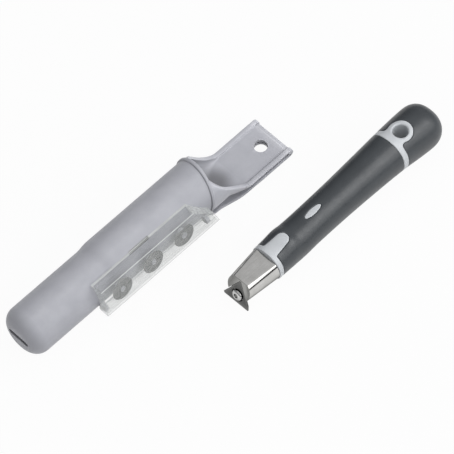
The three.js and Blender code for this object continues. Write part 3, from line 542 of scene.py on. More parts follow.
def power(value, exponent):
    return math.copysign(abs(value) ** exponent, value)


def handle_point(u, angle):
    x, half, height, middle = handle_section(u)
    y = half * power(math.cos(angle), HANDLE_POWER)
    return Vector((x, y, middle + height * power(math.sin(angle), HANDLE_POWER)))


def handle_normal(u, angle):
    step = 1e-3
    low, high = max(0, u - step), min(2, u + step)
    along = handle_point(high, angle) - handle_point(low, angle)
    around = handle_point(u, angle + step) - handle_point(u, angle - step)
    return around.cross(along).normalized()


def round_union(a, b, radius):
    inside = math.hypot(max(radius - a, 0), max(radius - b, 0))
    return max(radius, min(a, b)) - inside


def core_distance(point):
    """Distance from the places where the core shows, below 0 inside them."""
    x, y, z = point
    collar = x - HEAD_END_X - COLLAR_WIDTH
    ring = math.hypot(x - HANG_HOLE_X, y) - HANG_RING
    saddle = max(round_union(x - BAND_X - BAND_WIDTH, ring, SADDLE_FILLET), BAND_X - x)
    if z < 0:
        return min(collar, saddle)
    if x < TAB_ROUND_X:
        tab = abs(y) - mix(5.7, TAB_HALF_WIDTH, (x - HEAD_END_X) / (TAB_ROUND_X - HEAD_END_X))
    else:
        tab = math.hypot(x - TAB_ROUND_X, y) - TAB_HALF_WIDTH
    long, short = WINDOW_HALF
    scaled = math.hypot((x - WINDOW_X) / long, y / short)
    slope = math.hypot((x - WINDOW_X) / long ** 2, y / short ** 2)
    window = scaled * (scaled - 1) / slope if slope > 1e-6 else -short
    return min(round_union(collar, tab, 0.9), saddle, window)


def hole_distance(point):
    return math.hypot(point[0] - HANG_HOLE_X, point[1]) - HANG_HOLE


def cut_faces(points, values, faces, level):
    """Splits faces where their values cross a level; new points lie on it."""
    made = {}
    done = []
    tiny = 1e-9
    for face in faces:
        rises = [values[i] - level for i in face]
        if min(rises) >= -tiny or max(rises) <= tiny:
            done.append(face)
            continue
        low, high = [], []
        for k, i in enumerate(face):
            after = (k + 1) % len(face)
            if rises[k] <= tiny:
                low.append(i)
            if rises[k] >= -tiny:
                high.append(i)
            if rises[k] * rises[after] < 0 and min(abs(rises[k]), abs(rises[after])) > tiny:
                key = tuple(sorted((i, face[after])))
                if key not in made:
                    a, b = key
                    t = (level - values[a]) / (values[b] - values[a])
                    made[key] = len(points)
                    points.append((mix(points[a][0], points[b][0], t), mix(points[a][1], points[b][1], t)))
                    values.append(level)
                low.append(made[key])
                high.append(made[key])
        done.extend(part for part in (low, high) if len(part) > 2)
    return done


def rolled(distance, radius):
    """Depth of a rounded edge at a distance from it."""
    if distance >= radius:
        return 0
    return radius - math.sqrt(max(0, radius * radius - (radius - max(distance, 0)) ** 2))


def handle_pieces(grip, core):
    around = 128
    rows = [0, 0.0004, 0.0012, 0.0025, 0.0045]
    rows += [0.0075 + (1 - 0.0075) * step / 150 for step in range(150)]
    rows += [1 + step / 40 for step in range(41)]
    points = [(u, math.tau * step / around) for u in rows for step in range(around + 1)]
    faces = []
    width = around + 1
    for row in range(len(rows) - 1):
        for step in range(around):
            a = row * width + step
            faces.append([a, a + 1, a + 1 + width, a + width])
    holes = [hole_distance(handle_point(*point)) for point in points]
    for level in (0, 0.12, 0.4, 0.8, 1.3):
        faces = cut_faces(points, holes, faces, level)
    faces = [face for face in faces if sum(holes[i] for i in face) > 0]
    cores = [core_distance(handle_point(*point)) for point in points]
    for level in (-0.45, -0.2, -0.06, 0, 0.07, 0.25, 0.6):
        faces = cut_faces(points, cores, faces, level)
    placed = []
    for i, (u, angle) in enumerate(points):
        point = handle_point(u, angle)
        if cores[i] >= 0:
            depth = rolled(cores[i], GRIP_ROLL)
        else:
            depth = rolled(-cores[i], CORE_ROLL) + SEAM_DEPTH * (cores[i] > -0.02)
        depth += rolled(point.x - HEAD_END_X, FRONT_ROLL)
        point -= handle_normal(u, angle) * depth
        point.z -= math.copysign(rolled(hole_distance(point), HOLE_ROLL), point.z)
        placed.append(tuple(point))
    kinds = {"core": Shape(), "front": Shape(), "butt": Shape()}
    sorted_faces = {name: [] for name in kinds}
    for face in faces:
        inside = sum(cores[i] for i in face) < 0
        x = sum(placed[i][0] for i in face) / len(face)
        name = "core" if inside else "front" if x < BAND_X + BAND_WIDTH / 2 else "butt"
        sorted_faces[name].append(face)
    for name, chosen in sorted_faces.items():
        used = sorted({i for face in chosen for i in face})
        place = {i: k for k, i in enumerate(used)}
        kinds[name].add([placed[i] for i in used], [[place[i] for i in face] for face in chosen])
    kinds["core"].add(placed[:around], [list(range(around))])
    last_row = (len(rows) - 1) * width
    kinds["butt"].add(placed[last_row: last_row + around], [list(range(around))])
    wall = []
    for step in range(13):
        ring = []
        for turn in range(96):
            angle = math.tau * turn / 96
            x, y = HANG_HOLE_X + HANG_HOLE * math.cos(angle), HANG_HOLE * math.sin(angle)
            half, top, bottom = handle_size(x)
            share = (1 - (abs(y) / half) ** HANDLE_SQUARENESS) ** (1 / HANDLE_SQUARENESS)
            middle, height = (top + bottom) / 2, (top - bottom) / 2
            high, low = middle + height * share - HOLE_ROLL, middle - height * share + HOLE_ROLL
            ring.append((x, y, mix(high, low, step / 12)))
        wall.append(ring)
    kinds["core"].skin(wall, caps=False)
    meshes = {name: [mesh_of(name, shape, SCRAPER)] for name, shape in kinds.items()}
    piece("handle_core_shell", meshes["core"], "scraper", "handle_core", core, 50)
    piece("main_grip_skin", meshes["front"], "scraper", "main_grip", grip, 60)
    piece("butt_grip_skin", meshes["butt"], "scraper", "butt_grip", grip, 60)


SEAT_X = 3.4
BLADE_DROP = 6.1
BLADE_RAKE = math.radians(15)
BLADE_SIDE = 22.4
BLADE_CLIP = 1.2
BLADE_THICKNESS = 1.8
RUNNING_GAP = 0.3


def seat_frame():
    """The blade's seat: x across, y up the seat, z out of it along the screw."""
    across = Vector((0, -1, 0))
    up = Vector((math.sin(BLADE_RAKE), 0, math.cos(BLADE_RAKE)))
    basis = Matrix((across, up, across.cross(up))).transposed().to_4x4()
    return Matrix.Translation((SEAT_X, 0, -BLADE_DROP)) @ basis


SEAT = seat_frame()


def head_radius(x):
    return mix(8.9, 11.5, x / HEAD_END_X)


def head_ring(x):
    """The head's section: a circle with a softened flat on top."""
    radius = head_radius(x)
    flat = mix(7.5, 8.2, x / HEAD_END_X)
    start = math.degrees(math.asin(flat / radius))
    corner = (radius * math.cos(math.radians(start)), flat)
    reach = 0.55
    turn = math.degrees(reach / radius)
    round_points = arc((0, 0), radius, 180 - start + turn, 360 + start - turn, 150)
    ring = list(round_points)
    for sign in (1, -1):
        begin = Vector(round_points[-1] if sign > 0 else (-(corner[0] - reach), flat))
        end = Vector((corner[0] - reach, flat) if sign > 0 else round_points[0])
        middle = Vector((sign * corner[0], flat))
        ring += [tuple(curve(begin, middle, end, step / 8)) for step in range(1, 8)]
        if sign > 0:
            for step in range(13):
                ring.append((mix(corner[0] - reach, reach - corner[0], step / 12), flat))
    return [(x, y, z) for y, z in ring]


def head_piece(steel, seat_shade_metal):
    xs = [-8.9 + 36.1 * step / 60 for step in range(61)]
    body = Shape().skin([head_ring(x) for x in xs])
    far = 60
    front = moved(prism([(-far, -far), (far, -far), (far, far), (-far, far)], 2.1, far), SEAT)
    side = BLADE_SIDE + 2 * math.sqrt(3) * RUNNING_GAP
    reach = side / math.sqrt(3) - BLADE_CLIP
    half = BLADE_CLIP / math.sqrt(3)
    apex = [Vector((half, reach)), Vector((-half, reach))]
    turn = Matrix.Rotation(math.tau / 3, 2)
    left = turn @ apex[0]
    right = Vector((-left.x, left.y))
    outline = [apex[0], apex[1], left, (left.x, -far), (right.x, -far), right]
    pocket = moved(prism([tuple(corner) for corner in outline], -RUNNING_GAP, far), SEAT)
    bore = moved(prism(arc((0, 0), 2.3, 0, 360 - 7.5, 47), -9.3, far), SEAT)
    mesh = mesh_of("head", body, SCRAPER)
    for cutter in (front, pocket, bore):
        mesh = carve(mesh, mesh_of("cutter", cutter, SCRAPER))
    obj = piece("blade_head_body", [mesh], "scraper", "blade_head", steel, 30)
    obj.data.materials.append(seat_shade_metal)
    # painted shade: the blade's seat, its bore and the head's front face take a darker copy of the metal
    own = SCRAPER.inverted()
    for face in obj.data.polygons:
        normal = (own.to_3x3() @ face.normal).normalized()
        x, y, z = own @ face.center
        inside = math.hypot(y, z) < head_radius(x) - 0.4 and normal.z < 0.5
        if x < 9 and (inside or normal.dot(SEAT.col[2].to_3d()) > 0.6):
            face.material_index = 1
    bevel_edges(obj, 0.00022, 3, 32)


def screw_piece(steel):
    segments = 72
    pitch = 0.7
    under = BLADE_THICKNESS - 0.8 + RUNNING_GAP
    crown = under + 2.3

    def threaded(height):
        def reach(angle):
            return 2.0 - 0.42 * abs(2 * ((height / pitch - angle / math.tau) % 1) - 1)

        return level_ring(height, segments, reach)

    def socket(height, wider=0):
        def reach(angle):
            within = (angle + math.pi / 6) % (math.pi / 3) - math.pi / 6
            return 1.7 * math.cos(math.pi / 6) / math.cos(within) + wider

        return level_ring(height, segments, reach)

    rings = [level_ring(under - 9, segments, 1.2)]
    rings += [threaded(mix(under - 8.6, under - 0.3, step / 90)) for step in range(91)]
    for height, radius in ((0, 2.0), (0, 3.75), (0.15, 3.9)):
        rings.append(level_ring(under + height, segments, radius))
    for step in range(13):
        angle = math.pi / 2 * step / 12
        height = under + mix(0.8, 2.3, math.sin(angle))
        rings.append(level_ring(height, segments, mix(1.8, 3.9, math.cos(angle))))
    rings += [socket(crown, 0.06), socket(crown - 0.1), socket(crown - 1.2)]
    rings.append(level_ring(crown - 1.45, segments, 0.1))
    shape = moved(Shape().skin(rings), SEAT)
    piece("blade_screw_body", [mesh_of("screw", shape, SCRAPER)], "screw", "blade_screw", steel, 35)


# Holster

SLEEVE_LENGTH = 151.5
SLEEVE_WALL = 1.5
NOSE_RADIUS = 16.8
NOSE_ROUND = 9.5
SHOULDER_X = 63.2
SHOULDER_LENGTH = 10
BARREL_RADIUS = 17.8
BEAD_WIDTH = 2.4
PLATE_DEPTH = 18.2
PLATE_HALF_WIDTH = 16.6
PLATE_THICKNESS = 2
LIP_TOP = 13.8
LIP_RADIUS = 17.3
SCOOP_END_X = 183.3
BEND_X = 216.2
RIB_TOP = 1 - PLATE_DEPTH
RIB_WIDTH = 3.4
CLIP_SLOT = 1.2
CLIP_HOLE_X = 206.8
CLIP_HOLE = 4.5
TONGUE_THICKNESS = 2
TONGUE_MIDDLE = -PLATE_DEPTH - PLATE_THICKNESS - CLIP_SLOT - TONGUE_THICKNESS / 2
TONGUE_TIP_X = 149.8
TONGUE_WIDE_X = 191.3
COVER_TOP_EDGE = Vector((-21.2, 16.8))
COVER_LOW_EDGE = Vector((-25.6, -7))
COVER_START_X = 51
COVER_END_X = 143.3
COVER_WALL = 1.2
HINGE = (-18.95, -6)
EAR_WIDTH = 2.6
LATCH_X = 91.4


def lean(y, z):
    """How far the mouth's rim stands forward at a point of its section."""
    return 0.18 * z + 0.12 * y


def sleeve_profile():
    nose = [(0, 0), (3, 0)]
    nose += arc((NOSE_RADIUS - NOSE_ROUND, NOSE_ROUND), NOSE_ROUND, -90, 0, 20)
    shoulder_end = SHOULDER_X + SHOULDER_LENGTH
    outside = [(NOSE_RADIUS, mix(NOSE_ROUND, SHOULDER_X, step / 6)) for step in range(1, 6)]
    for step in range(17):
        t = step / 16
        radius = mix(NOSE_RADIUS, BARREL_RADIUS, t * t * (3 - 2 * t))
        outside.append((radius, mix(SHOULDER_X, shoulder_end, t)))
    bead_start = SLEEVE_LENGTH - BEAD_WIDTH
    outside += [(BARREL_RADIUS, mix(shoulder_end, bead_start, step / 8)) for step in range(1, 9)]
    outside += arc((BARREL_RADIUS + 0.3, bead_start + 0.75), 0.7, -70, 0, 6)
    outside += arc((BARREL_RADIUS + 0.3, SLEEVE_LENGTH - 0.7), 0.7, 0, 90, 6)
    bore = BARREL_RADIUS - SLEEVE_WALL
    inside = [(bore + 0.3, SLEEVE_LENGTH), (bore, SLEEVE_LENGTH - 0.3), (bore, shoulder_end)]
    inside += [(NOSE_RADIUS - SLEEVE_WALL, SHOULDER_X)]
    inside += arc((NOSE_RADIUS - NOSE_ROUND, NOSE_ROUND), NOSE_ROUND - SLEEVE_WALL, 0, -90, 12)
    inside += [(0, SLEEVE_WALL)]
    return nose + outside + inside


def spare_frame(index):
    """A spare blade's frame: x along the holster, y up the cover's front, z out through it."""
    down = (COVER_LOW_EDGE - COVER_TOP_EDGE).normalized()
    out = Vector((down.y, -down.x))
    centre = COVER_TOP_EDGE + down * 13.7 - out * (1.2 + 0.6 + 1.5)
    basis = Matrix(((1, 0, 0), (0, -down.x, -down.y), (0, out.x, out.y))).transposed().to_4x4()
    return Matrix.Translation((67.2 + 26.2 * index, centre.x, centre.y)) @ basis


def turned_peg(index):
    """A peg with a rounded head and a shoulder under the blade."""
    place = spare_frame(index)
    root = -(math.hypot(place[1][3], place[2][3]) - BARREL_RADIUS + SLEEVE_WALL / 2)
    profile = [(3.2, root), (3.2, -0.6), (2.9, -0.3), (2.0, -0.3), (2.0, 1.5)]
    profile += [(1.85, 1.78), (1.5, 1.9), (0.7, 1.9), (0.5, 1.7)]
    rings = [level_ring(height, 48, radius) for radius, height in profile]
    return moved(Shape().skin(rings), place)


def hinge_ear(start):
    """An ear on the barrel with the eye that a stub of the cover turns in."""
    eye = Vector(HINGE)
    away = eye.normalized()
    side = Vector((-away.y, away.x))
    facing = math.degrees(math.atan2(away.y, away.x))
    outer = arc(eye, 2.7, facing - 108, facing + 108, 30)
    foot = away * (NOSE_RADIUS - SLEEVE_WALL / 2)
    outer += [tuple(foot + side * 2.55), tuple(foot - side * 2.55)]
    inner = [tuple(eye + (Vector(pair) - eye).normalized() * 1.5) for pair in outer]
    soft = 0.25
    rings = []
    for x, loop, inset in (
        (0, outer, soft), (soft, outer, 0), (EAR_WIDTH - soft, outer, 0),
        (EAR_WIDTH, outer, soft), (EAR_WIDTH, inner, 0), (0, inner, 0),
    ):
        ring = []
        for pair in loop:
            out = Vector(pair) - eye
            pair = eye + out * (1 - inset / out.length)
            ring.append((start + x, pair.x, pair.y))
        rings.append(ring)
    return Shape().skin(rings, loop=True)


def latch_slot():
    """The slot in the barrel's wall that the cover's hook goes into."""
    corners = [Vector((-9.8, 14)), COVER_TOP_EDGE]
    along = (corners[1] - corners[0]).normalized()
    inward = Vector((-along.y, along.x))
    root = corners[0] + inward * 0.6
    across = root.x * along.y - root.y * along.x
    reach = math.sqrt(BARREL_RADIUS ** 2 - across ** 2) - root.dot(along)
    meet = root + along * reach
    turn = math.atan2(-meet.x, meet.y)
    start, end = LATCH_X - 8.3, LATCH_X + 8.3
    box = softened([(start, -1.5), (end, -1.5), (end, 0.8), (start, 0.8)], 0.5, 4)
    return moved(prism(box, BARREL_RADIUS - 3, BARREL_RADIUS + 1.5), Matrix.Rotation(turn, 4, "X"))


def sleeve_piece(plastic_grey):
    bead_start = SLEEVE_LENGTH - BEAD_WIDTH

    def bend(x, y, z):
        return lean(y, z) if x >= bead_start - 1e-6 else 0

    mesh = mesh_of("sleeve", lathe(sleeve_profile(), 160, bend), HOLSTER)
    slot = arc((6.3, 1.2), 2.1, -90, 90, 12) + arc((-6.3, 1.2), 2.1, 90, 270, 12)
    for cutter in (prism(slot, -20, NOSE_ROUND, "yzx"), latch_slot()):
        mesh = carve(mesh, mesh_of("cutter", cutter, HOLSTER))
    parts = [turned_peg(index) for index in range(3)]
    parts.append(hinge_ear(COVER_START_X + COVER_WALL + RUNNING_GAP))
    parts.append(hinge_ear(COVER_END_X - COVER_WALL - RUNNING_GAP - EAR_WIDTH))
    meshes = [mesh] + [mesh_of("part", part, HOLSTER) for part in parts]
    piece("holster_sleeve_body", meshes, "holster", "holster_sleeve", plastic_grey, 32)


def trough_half(edge, half, depth):
    """Half of a section, from its scooped edge down the wall and round the corner to the floor."""
    corner_up = min(depth - 3.5, 0.92 * (depth + edge))
    corner_across = min(half, corner_up * half / depth)
    points = []
    for step in range(12):
        z = mix(edge, corner_up - depth, step / 12)
        points.append((math.sqrt(half * half - z * z) if z > 0 else half, z))
    for step in range(15):
        angle = math.pi / 2 * step / 14
        y = half - corner_across * (1 - math.cos(angle))
        points.append((y, corner_up - depth - corner_up * math.sin(angle)))
    flat = half - corner_across
    points += [(flat * (1 - step / 6), -depth) for step in range(1, 6)]
    return points


def trough_wall(edge, outside, inside):
    """Outer and inner line of one side of a section, with a softened edge."""
    outer, inner = trough_half(edge, *outside), trough_half(edge, *inside)
    soft = min(0.55, (outer[0][0] - inner[0][0]) / 3)
    lines = []
    for line, inward in ((outer, -soft), (inner, soft)):
        y = line[0][0]
        lip = [(y + inward, edge), (y + 0.3 * inward, edge - 0.3 * soft), (y, edge - soft)]
        lines.append(lip + [pair for pair in line if pair[1] < edge - soft])
    return lines


def trough_ring(x, near_edge, far_edge, outside, inside, leaning):
    near, far = trough_wall(near_edge, outside, inside), trough_wall(far_edge, outside, inside)
    lines = []
    for near_line, far_line in zip(near, far):
        line = [(-y, z) for y, z in near_line] + [(y, z) for y, z in reversed(far_line)]
        lines.append([(x + leaning * lean(y, z), y, z) for y, z in line])
    return lines


def resampled(line, count):
    """A polyline of points as a set number of evenly spaced ones."""
    points = [Vector(point) for point in line]
    lengths = [0]
    for a, b in zip(points, points[1:]):
        lengths.append(lengths[-1] + (b - a).length)
    done = []
    k = 0
    for step in range(count):
        target = lengths[-1] * step / (count - 1)
        while k < len(points) - 2 and lengths[k + 1] < target:
            k += 1
        span = max(lengths[k + 1] - lengths[k], 1e-9)
        done.append(tuple(points[k].lerp(points[k + 1], min(1, max(0, (target - lengths[k]) / span)))))
    return done


def hairpin(centre_z, radius, low_y, high_y, soft):
    """The bend that turns the plate back under itself."""
    slot_z = -PLATE_DEPTH - PLATE_THICKNESS - CLIP_SLOT / 2

    def outline(inset):
        points = [(BEND_X, slot_z - CLIP_SLOT / 2)]
        points += arc((BEND_X, centre_z), radius - inset, -90, 90, 24)
        points += [(BEND_X - 1, centre_z + radius - inset), (BEND_X - 1, slot_z + CLIP_SLOT / 2)]
        points += arc((BEND_X, slot_z), CLIP_SLOT / 2, 90, -90, 12)
        return points

    steps = [(low_y, soft), (low_y + 0.3 * soft, 0.3 * soft), (low_y + soft, 0)]
    steps += [(high_y - soft, 0), (high_y - 0.3 * soft, 0.3 * soft), (high_y, soft)]
    return Shape().skin([[(x, y, z) for x, z in outline(inset)] for y, inset in steps])


def clip_hole(low):
    """Cutter for the hole through the plate and the tongue."""
    return prism(arc((CLIP_HOLE_X, 0), CLIP_HOLE, 0, 360 - 5, 71), low, 0)


def mouth_piece(plastic_grey):
    start = SLEEVE_LENGTH + RUNNING_GAP
    bore = BARREL_RADIUS - SLEEVE_WALL - RUNNING_GAP - 1.3
    run = (LIP_TOP - RIB_TOP) / 1.3
    control = [Vector((start, LIP_TOP)), Vector((start + run, RIB_TOP)), Vector((SCOOP_END_X, RIB_TOP))]
    stations = [tuple(curve(*control, step / 60)) for step in range(61)]
    stations += [(mix(SCOOP_END_X, BEND_X - 1, step / 10), RIB_TOP) for step in range(1, 11)]
    rings = []
    for x, edge in stations:
        ramp = min(1, (x - start) / (180.3 - start))
        plate_under = PLATE_DEPTH + PLATE_THICKNESS
        outside = (mix(LIP_RADIUS, PLATE_HALF_WIDTH, ramp), mix(LIP_RADIUS, plate_under, ramp))
        inside = (mix(bore, PLATE_HALF_WIDTH - RIB_WIDTH, ramp), mix(bore, PLATE_DEPTH, ramp))
        straight = max(mix(LIP_TOP, RIB_TOP, (x - start) / (181 - start)), RIB_TOP)
        near_edge = mix(edge, straight, 0.85)
        outer, inner = trough_ring(x, near_edge, edge, outside, inside, 1 - ramp)
        rings.append(resampled(outer, 96) + resampled(inner, 96)[::-1])
    mesh = mesh_of("mouth", Shape().skin(rings), HOLSTER)
    mesh = carve(mesh, mesh_of("cutter", clip_hole(-40), HOLSTER))
    low = TONGUE_MIDDLE - TONGUE_THICKNESS / 2
    bend_radius = (-PLATE_DEPTH - low) / 2
    rail_radius = (RIB_TOP - low) / 2
    rail = PLATE_HALF_WIDTH - RIB_WIDTH
    parts = [
        hairpin(low + bend_radius, bend_radius, -rail - 0.2, rail + 0.2, 0.1),
        hairpin(low + rail_radius, rail_radius, rail, PLATE_HALF_WIDTH, 0.5),
        hairpin(low + rail_radius, rail_radius, -PLATE_HALF_WIDTH, -rail, 0.5),
    ]
    outer = BARREL_RADIUS - SLEEVE_WALL - RUNNING_GAP
    tube = [(outer, SLEEVE_LENGTH - 12), (outer, start), (bore, start), (bore, SLEEVE_LENGTH - 12)]
    parts.append(lathe(tube, 128, lambda x, y, z: lean(y, z) if x >= start else 0))
    meshes = [mesh] + [mesh_of("part", part, HOLSTER) for part in parts]
    piece("clip_frame_body", meshes, "holster", "clip_frame", plastic_grey, 32)


def tongue_line(t):
    """Centre of the tongue in side view, on a smooth curve from the hairpin to its lip."""
    knots = [
        (BEND_X - RUNNING_GAP, TONGUE_MIDDLE),
        (TONGUE_WIDE_X, TONGUE_MIDDLE),
        (175.3, TONGUE_MIDDLE - 1.8),
        (158.3, TONGUE_MIDDLE + 1.8),
        (TONGUE_TIP_X, TONGUE_MIDDLE),
    ]
    place = t * (len(knots) - 1)
    k = min(int(place), len(knots) - 2)
    w = place - k
    p0, p1, p2, p3 = (Vector(knots[min(max(k + shift, 0), len(knots) - 1)]) for shift in (-1, 0, 1, 2))
    v0, v1 = (p2 - p0) / 2, (p3 - p1) / 2
    return (2 * p1 - 2 * p2 + v0 + v1) * w ** 3 + (-3 * p1 + 3 * p2 - 2 * v0 - v1) * w ** 2 + v0 * w + p1


def tongue_piece(plastic_grey):
    steps = 110
    rings = []
    for step in range(steps + 1):
        t = step / steps
        centre = tongue_line(t)
        tangent = (tongue_line(min(1, t + 0.002)) - tongue_line(max(0, t - 0.002))).normalized()
        normal = Vector((-tangent.y, tangent.x))
        near_tip = centre.x - TONGUE_TIP_X
        share = min(1, max(0, near_tip / (TONGUE_WIDE_X - TONGUE_TIP_X)))
        half = mix(13, PLATE_HALF_WIDTH, share)
        if near_tip < 5:
            half -= 5 * (1 - math.sqrt(max(0, 1 - (1 - near_tip / 5) ** 2))) * 0.85
        thick = TONGUE_THICKNESS / 2
        if near_tip < 0.8:
            thick *= math.sqrt(max(0.12, 1 - (1 - near_tip / 0.8) ** 2))
        soft = min(0.6, thick * 0.8)
        loop = arc((half - soft, thick - soft), soft, 0, 90, 6)
        loop += [(half * k / 8, thick) for k in range(7, -8, -1)]
        loop += arc((soft - half, thick - soft), soft, 90, 180, 6)
        loop += arc((soft - half, soft - thick), soft, 180, 270, 6)
        loop += [(half * k / 8, -thick) for k in range(-7, 8)]
        loop += arc((half - soft, soft - thick), soft, 270, 360, 6)
        rings.append([(centre.x + normal.x * h, y, centre.y + normal.y * h) for y, h in loop])
    mesh = mesh_of("tongue", Shape().skin(rings), HOLSTER)
    mesh = carve(mesh, mesh_of("cutter", clip_hole(-60), HOLSTER))
    piece("clip_tongue_body", [mesh], "tongue", "clip_tongue", plastic_grey, 40)


def spare_outline(kind, count=120):
    radius, point, shoulder, flat = 8.0, 9.4, math.radians(48), 5.6
    loop = []
    for step in range(count):
        angle = math.tau * step / count
        reach = radius
        if kind == "pear":
            off = abs((angle - math.pi / 2 + math.pi) % math.tau - math.pi)
            if off < shoulder:
                a, b = Vector((0, point)), Vector((radius * math.sin(shoulder), radius * math.cos(shoulder)))
                direction = Vector((math.sin(off), math.cos(off)))
                edge = b - a
                reach = (a.x * edge.y - a.y * edge.x) / (direction.x * edge.y - direction.y * edge.x)
        elif kind == "flat" and math.sin(angle) * radius > flat:
            reach = flat / math.sin(angle)
        loop.append((reach * math.cos(angle), reach * math.sin(angle)))
    return loop


def spare_pieces(steel):
    for index, kind in enumerate(("pear", "round", "flat")):
        outline = [Vector(pair) for pair in spare_outline(kind)]

        def edge(inset, height):
            return [(*(pair - inset * pair.normalized()), height) for pair in outline]

        def eye(radius, height):
            return [(*(radius * pair.normalized()), height) for pair in outline]

        rings = [eye(2.3, 0), edge(1.5, 0), edge(0.1, 1.0), edge(0.0, 1.1), edge(0.15, 1.18), edge(1.9, 1.5)]
        rings += [eye(4.6, 1.5), eye(4.3, 1.32), eye(3.3, 1.32), eye(3.0, 1.5), eye(2.5, 1.5), eye(2.3, 1.35)]
        shape = moved(Shape().skin(rings, loop=True), spare_frame(index))
        node = f"spare_blade_{kind}"
        piece(f"{node}_body", [mesh_of("spare", shape, HOLSTER)], "holster", node, steel, 25)


# Stage


def set_stage():
    reach = 3.0
    mesh = bpy.data.meshes.new("floor")
    corners = [(-reach, -reach, 0), (reach, -reach, 0), (reach, reach, 0), (-reach, reach, 0)]
    mesh.from_pydata(corners, [], [(0, 1, 2, 3)])
    floor = bpy.data.objects.new("floor", mesh)
    floor.location.z = -0.0003
    scene.collection.objects.link(floor)
    material = bpy.data.materials.new("floor_white")
    material.use_nodes = True
    tree = material.node_tree
    matte = tree.nodes["Principled BSDF"]
    matte.inputs["Base Color"].default_value = (0.9, 0.9, 0.9, 1)
    matte.inputs["Roughness"].default_value = 1.0
    matte.inputs["Specular IOR Level"].default_value = 0.0
    white = tree.nodes.new("ShaderNodeEmission")
    rays = tree.nodes.new("ShaderNodeLightPath")
    seen = rays.outputs["Is Camera Ray"]
    for name in ("Is Glossy Ray", "Is Transmission Ray"):
        either = tree.nodes.new("ShaderNodeMath")
        either.operation = "MAXIMUM"
        tree.links.new(seen, either.inputs[0])
        tree.links.new(rays.outputs[name], either.inputs[1])
        seen = either.outputs[0]
    share = tree.nodes.new("ShaderNodeMath")
    share.operation = "MULTIPLY"
    share.inputs[1].default_value = 0.95  # the rest stays matte and takes the shadow
    tree.links.new(seen, share.inputs[0])
    blend = tree.nodes.new("ShaderNodeMixShader")
    tree.links.new(share.outputs[0], blend.inputs["Fac"])
    tree.links.new(matte.outputs["BSDF"], blend.inputs[1])
    tree.links.new(white.outputs["Emission"], blend.inputs[2])
    tree.links.new(blend.outputs["Shader"], tree.nodes["Material Output"].inputs["Surface"])
    mesh.materials.append(material)


def set_world():
    """A pale studio: bright overhead, dimmer behind, with a dark band low down that metal can reflect."""
    world = bpy.data.worlds.new("studio")
    scene.world = world
    world.use_nodes = True
    tree = world.node_tree
    place = tree.nodes.new("ShaderNodeTexCoord")
    split = tree.nodes.new("ShaderNodeSeparateXYZ")
    ramp = tree.nodes.new("ShaderNodeValToRGB")
    stops = [(0.0, 0.75), (0.02, 0.75), (0.04, 0.02), (0.17, 0.02), (0.24, 0.5), (0.6, 0.62), (1.0, 0.75)]
    elements = ramp.color_ramp.elements
    while len(elements) < len(stops):
        elements.new(0.5)
    for element, (height, level) in zip(elements, stops):
        element.position = height
        element.color = (level, level, level * 1.01, 1)
    tree.links.new(place.outputs["Generated"], split.inputs["Vector"])
    tree.links.new(split.outputs["Z"], ramp.inputs["Fac"])
    tree.links.new(ramp.outputs["Color"], tree.nodes["Background"].inputs["Color"])
    dimmed = tree.nodes.new("ShaderNodeMapRange")
    for name, value in (("From Min", 0.3), ("From Max", 0.85), ("To Min", 1.0), ("To Max", 0.25)):
        dimmed.inputs[name].default_value = value
    tree.links.new(split.outputs["Y"], dimmed.inputs["Value"])
    tree.links.new(dimmed.outputs["Result"], tree.nodes["Background"].inputs["Strength"])


def area_light(name, at, size, power_watts, only=()):
    """A softbox that faces the origin; only names the pieces it is kept to, as by a card or a snoot."""
    data = bpy.data.lights.new(name, "AREA")
    data.shape = "RECTANGLE"
    data.size, data.size_y = size
    data.energy = power_watts
    light = bpy.data.objects.new(name, data)
    light.location = at
    light.rotation_euler = (-Vector(at)).to_track_quat("-Z", "Y").to_euler()
    scene.collection.objects.link(light)
    if only:
        light.light_linking.receiver_collection = bpy.data.collections.new(f"{name}_pieces")
        for piece_name in only:
            light.light_linking.receiver_collection.objects.link(bpy.data.objects[piece_name])


def set_lights():
    clip = ("clip_frame_body", "clip_tongue_body")
    handle = ("handle_core_shell", "main_grip_skin", "butt_grip_skin")
    area_light("side_softbox", (0.6, -1.2, 0.85), (2.2, 1.05), 11)
    area_light("ridge_strip", (0.6, -0.21, 1.4), (0.35, 1.2), 9, ("holster_sleeve_body", *clip))
    area_light("grip_softbox", (0.6, -0.58, 1.35), (1.1, 0.9), 10.5, handle)
    area_light("clip_fill", (0.9, -0.9, 0.4), (0.8, 0.4), 5, clip)


def grey(level, blue=0):
    """A metal's colour, a little yellower by a negative blue."""
    return (level, level, level + blue)


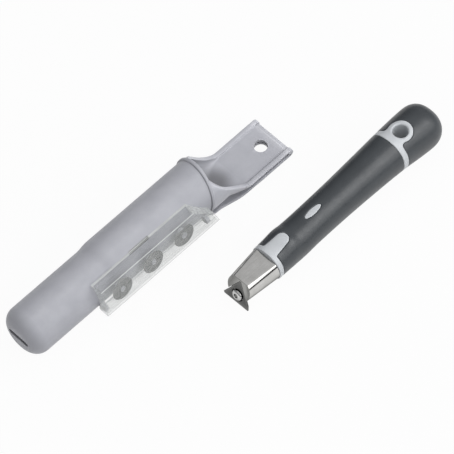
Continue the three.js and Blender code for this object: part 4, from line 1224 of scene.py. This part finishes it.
def main():
    scene.view_settings.view_transform = "Standard"
    set_camera()
    set_stage()
    set_world()
    # the last value of each look is how strong the painted shade in hollows is
    core_look = [(0.48, 0.5, 0.52), (0.54, 0.56, 0.58), (0.68, 0.7, 0.72), 3000, (0.28, 0.4), 0.05]
    holster_look = [(0.37, 0.375, 0.41), (0.42, 0.425, 0.46), (0.56, 0.565, 0.6), 2400, (0.36, 0.5), 0.6]
    holster_plastic = plastic("holster_plastic", *holster_look)
    # the point where the mouth piece's painted shadow is centred
    trough = HOLSTER @ Vector((168, 1, -14))  # the floor where it runs into the sleeve
    head_colours = (0.5, 0.495, 0.48), (0.66, 0.655, 0.64)
    polished = metal("polished_head", *head_colours, (0.07, 0.15), (40, 900, 900), 0.05)
    # painted shade: a darker metal for the head's seat and bore
    seat_shade_metal = metal("seat_painted_shade", grey(0.16, -0.005), grey(0.32, -0.01), (0.22, 0.4), (700, 700, 90), 0.2)
    ground = metal("ground_blade", grey(0.09), grey(0.19, -0.005), (0.22, 0.38), (1500, 60, 1500), 0.2)
    bright = metal("bright_screw", grey(0.3), grey(0.7, -0.01), (0.06, 0.14), (900, 900, 60))
    dark = metal("spare_steel", grey(0.06), grey(0.34), (0.16, 0.3), (80, 1400, 1400), 0.2)
    clear = clear_plastic("clear_cover", (0.56, 0.58, 0.57), (0.66, 0.68, 0.67), (0.05, 0.42))
    # painted light: a lighter, denser copy of the clear plastic for the cover's end faces
    clear_painted_light_end = clear_plastic("clear_cover_painted_light_end", (0.7, 0.72, 0.71), (0.8, 0.82, 0.81), (0.22, 0.66))
    # painted highlight: a pale, dense copy of the clear plastic for the cover's bevelled edges and its roof's
    # front edge
    clear_painted_highlight = clear_plastic("clear_cover_painted_highlight", (0.84, 0.86, 0.85), (0.92, 0.94, 0.93), (0.6, 0.85))
    handle_pieces(rubber(), plastic("core_plastic", *core_look))
    head_piece(polished, seat_shade_metal)
    screw_piece(bright)
    sleeve_piece(holster_plastic)
    mouth_piece(plastic("mouth_plastic", *holster_look, painted_shadow_at=trough))
    tongue_piece(holster_plastic)
    spare_pieces(dark)
    rounded_copy("scraper_blade", "blade", [ground], 0.00015)
    cover = rounded_copy("blade_cover", "cover", [clear, clear_painted_light_end, clear_painted_highlight], 0.0005)
    # faces close to the roof's front edge take the painted highlight copy, the end faces the painted light
    # copy
    corner = (HOLSTER.to_3x3() @ Vector((0, -0.543, 0.84))).normalized()
    for face in cover.data.polygons:
        face.material_index = 2 if abs(face.normal.dot(corner)) > 0.975 else int(abs(face.normal.x) > 0.6)
    set_lights()


main()
